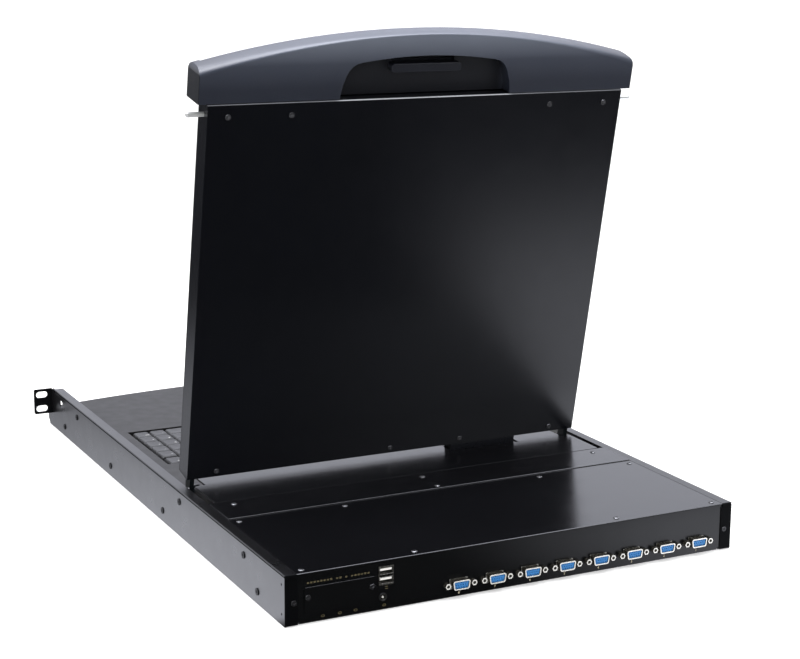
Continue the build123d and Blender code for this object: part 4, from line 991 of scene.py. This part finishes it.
def build_jack():
    """spring sleeve and centre pin"""
    bm = bmesh.new()
    sleeve = jack_loops(bm, SLEEVE_PROFILE)
    loft(bm, sleeve + sleeve[:1])
    bmesh.ops.recalc_face_normals(bm, faces=bm.faces)
    make_piece("jack_sleeve", bm, "shell", "chassis")
    bm = bmesh.new()
    pin = jack_loops(bm, PIN_PROFILE)
    loft(bm, pin)
    bm.faces.new(pin[-1])
    bm.faces.new(list(reversed(pin[0])))
    bmesh.ops.recalc_face_normals(bm, faces=bm.faces)
    make_piece("jack_pin", bm, "nickel", "chassis")


# ------------------------------------------------------------------ stage
FLOOR_Z = -0.0223
FLOOR_HALF = 30.0


def floor_glow(nodes, x, y, ray_length):
    """brightness that glossy faces see in the floor, by place and by length of the ray"""
    # long rays: a pool behind the drawer on the -X side, a pale strip beside it at +X
    lean = nodes.math("ADD", x, nodes.math("MULTIPLY", nodes.math("SUBTRACT", y, 0.67), 0.25))
    pool = nodes.math("MULTIPLY", nodes.fade(lean, span=(-0.36, -0.17), to=(1.0, 0.02)),
                      nodes.fade(y, span=(0.68, 1.06), to=(1.55, 0.07)))
    beside = nodes.fade(y, span=(-0.65, 0.05), to=(0.05, 0.62))
    far = nodes.mix_value(nodes.fade(x, span=(0.22, 0.26), to=(0.0, 1.0)), pool, beside)
    # short rays: brighter towards the rear along the flanks, fading to +X behind the panel
    behind = nodes.fade(x, span=(-0.24, 0.04), to=(1.5, 0.02))
    flank = nodes.fade(y, span=(-0.25, 0.66), to=(0.62, 2.0))
    near = nodes.mix_value(nodes.fade(y, span=(0.63, 0.66), to=(0.0, 1.0)), flank, behind)
    return nodes.mix_value(nodes.fade(ray_length, span=(0.13, 0.20), to=(0.0, 1.0)), near, far)


def floor_material():
    """pale matt floor, replaced by a painted glow for glossy rays"""
    material = bpy.data.materials.new("studio_floor")
    material.use_nodes = True
    nodes = Nodes(material.node_tree)
    matt = nodes.tree.nodes["Principled BSDF"]
    for socket, value in {
        "Base Color": (0.93, 0.93, 0.93),
        "Roughness": 0.9,
        "Specular IOR Level": 0.1,
        "Emission Color": (1, 1, 1),
        "Emission Strength": 0.30,
    }.items():
        nodes.feed(matt.inputs[socket], value)
    x, y, _ = nodes.split(nodes.node("ShaderNodeNewGeometry").outputs["Position"])
    path = nodes.node("ShaderNodeLightPath").outputs
    glow = floor_glow(nodes, x, y, path["Ray Length"])
    emission = nodes.node("ShaderNodeEmission", {"Color": (0.94, 0.96, 1.05), "Strength": glow})
    either = nodes.node("ShaderNodeMixShader", {
        0: path["Is Glossy Ray"], 1: matt.outputs[0], 2: emission.outputs[0]})
    nodes.feed(nodes.tree.nodes["Material Output"].inputs[0], either.outputs[0])
    return material


def build_floor():
    bm = bmesh.new()
    bmesh.ops.create_grid(bm, x_segments=1, y_segments=1, size=FLOOR_HALF)
    mesh = bpy.data.meshes.new("studio_floor")
    bm.to_mesh(mesh)
    bm.free()
    floor = bpy.data.objects.new("studio_floor", mesh)
    scene.collection.objects.link(floor)
    floor.location = (0, 0, FLOOR_Z)
    mesh.materials.append(floor_material())


def build_world():
    """even white light; glossy rays see a bright front, a dim rear and a bright ceiling"""
    world = bpy.data.worlds.new("studio")
    scene.world = world
    world.use_nodes = True
    nodes = Nodes(world.node_tree)
    x, y, z = nodes.split(nodes.node("ShaderNodeTexCoord").outputs["Generated"])
    rear = nodes.fade(y, span=(-0.15, 0.45), to=(1.30, 0.06))
    side = nodes.fade(x, span=(0.35, 0.80), to=(1.0, 0.16))
    walls = nodes.math("MULTIPLY", rear, side)
    upper = nodes.fade(z, span=(0.45, 0.90), to=(0.0, 0.35))
    ceiling = nodes.fade(z, span=(0.70, 0.86), to=(0.0, 6.0))
    seen = nodes.math("ADD", nodes.math("ADD", walls, upper), ceiling)
    glossy = nodes.node("ShaderNodeLightPath").outputs["Is Glossy Ray"]
    background = nodes.tree.nodes["Background"]
    nodes.feed(background.inputs["Strength"], nodes.mix_value(glossy, 1.0, seen))
    nodes.feed(background.inputs["Color"], nodes.mix(glossy, (1, 1, 1), (0.93, 0.95, 1.06)))


def aim(location, target):
    return (Vector(target) - Vector(location)).to_track_quat("-Z", "Y").to_euler()


def softbox(name, location, target, size, energy, color=(1, 1, 1)):
    light = bpy.data.lights.new(name, "AREA")
    light.shape = "RECTANGLE"
    light.size, light.size_y = size
    light.energy = energy
    light.color = color
    lamp = bpy.data.objects.new(name, light)
    scene.collection.objects.link(lamp)
    lamp.location = location
    lamp.rotation_euler = aim(location, target)


def build_lights():
    softbox("top_box", location=(0.1, 0.5, 2.2), target=(0, 0.35, 0.1), size=(1.6, 1.0), energy=26)
    softbox("side_box", location=(2.0, -0.3, 1.2), target=(0, 0.3, 0.05), size=(1.2, 1.2),
            energy=14)
    softbox("rear_box", location=(-1.4, 2.2, 1.5), target=(0, 0.5, 0.1), size=(0.7, 1.0),
            energy=9, color=(0.92, 0.95, 1.0))


# Camera: heading from -Y round towards +X, height angle and roll in degrees
CAMERA_HEADING, CAMERA_ELEVATION, CAMERA_ROLL = 153.12977, 12.64684, 0.44546
CAMERA_PLACE = (0.7471158, 1.8997568, 0.5262486)
SENSOR_WIDTH, LENS = 36.0, 80.237043  # mm


def build_camera():
    heading, elevation, roll = (
        math.radians(a) for a in (CAMERA_HEADING, CAMERA_ELEVATION, CAMERA_ROLL))
    back = Vector((math.sin(heading) * math.cos(elevation),
                   -math.cos(heading) * math.cos(elevation), math.sin(elevation)))
    right = (-back).cross(Vector((0, 0, 1))).normalized()
    up = right.cross(-back)
    rolled_right = right * math.cos(roll) + up * math.sin(roll)
    rolled_up = -right * math.sin(roll) + up * math.cos(roll)
    data = bpy.data.cameras.new("photo_camera")
    data.sensor_width = SENSOR_WIDTH
    data.sensor_fit = "HORIZONTAL"
    data.lens = LENS
    data.clip_start, data.clip_end = 0.01, 200
    camera = bpy.data.objects.new("photo_camera", data)
    scene.collection.objects.link(camera)
    pose = Matrix((rolled_right, rolled_up, back)).transposed().to_4x4()
    pose.translation = Vector(CAMERA_PLACE)
    camera.matrix_world = pose
    scene.camera = camera


# ------------------------------------------------------------------ build
build_typing_keys()
build_spacebar()
build_function_keys()
build_arrow_keys()
build_numpad()
build_springs()
build_port_numbers()
build_panel_marks()
build_jack()
for name in NODES:
    if not NODES[name].hide_render:
        finish_node(name)

scene = bpy.context.scene
scene.view_settings.view_transform = "Standard"
scene.view_settings.look = "None"
scene.view_settings.exposure = 0.0
scene.view_settings.gamma = 1.0
build_floor()
build_world()
build_lights()
build_camera()
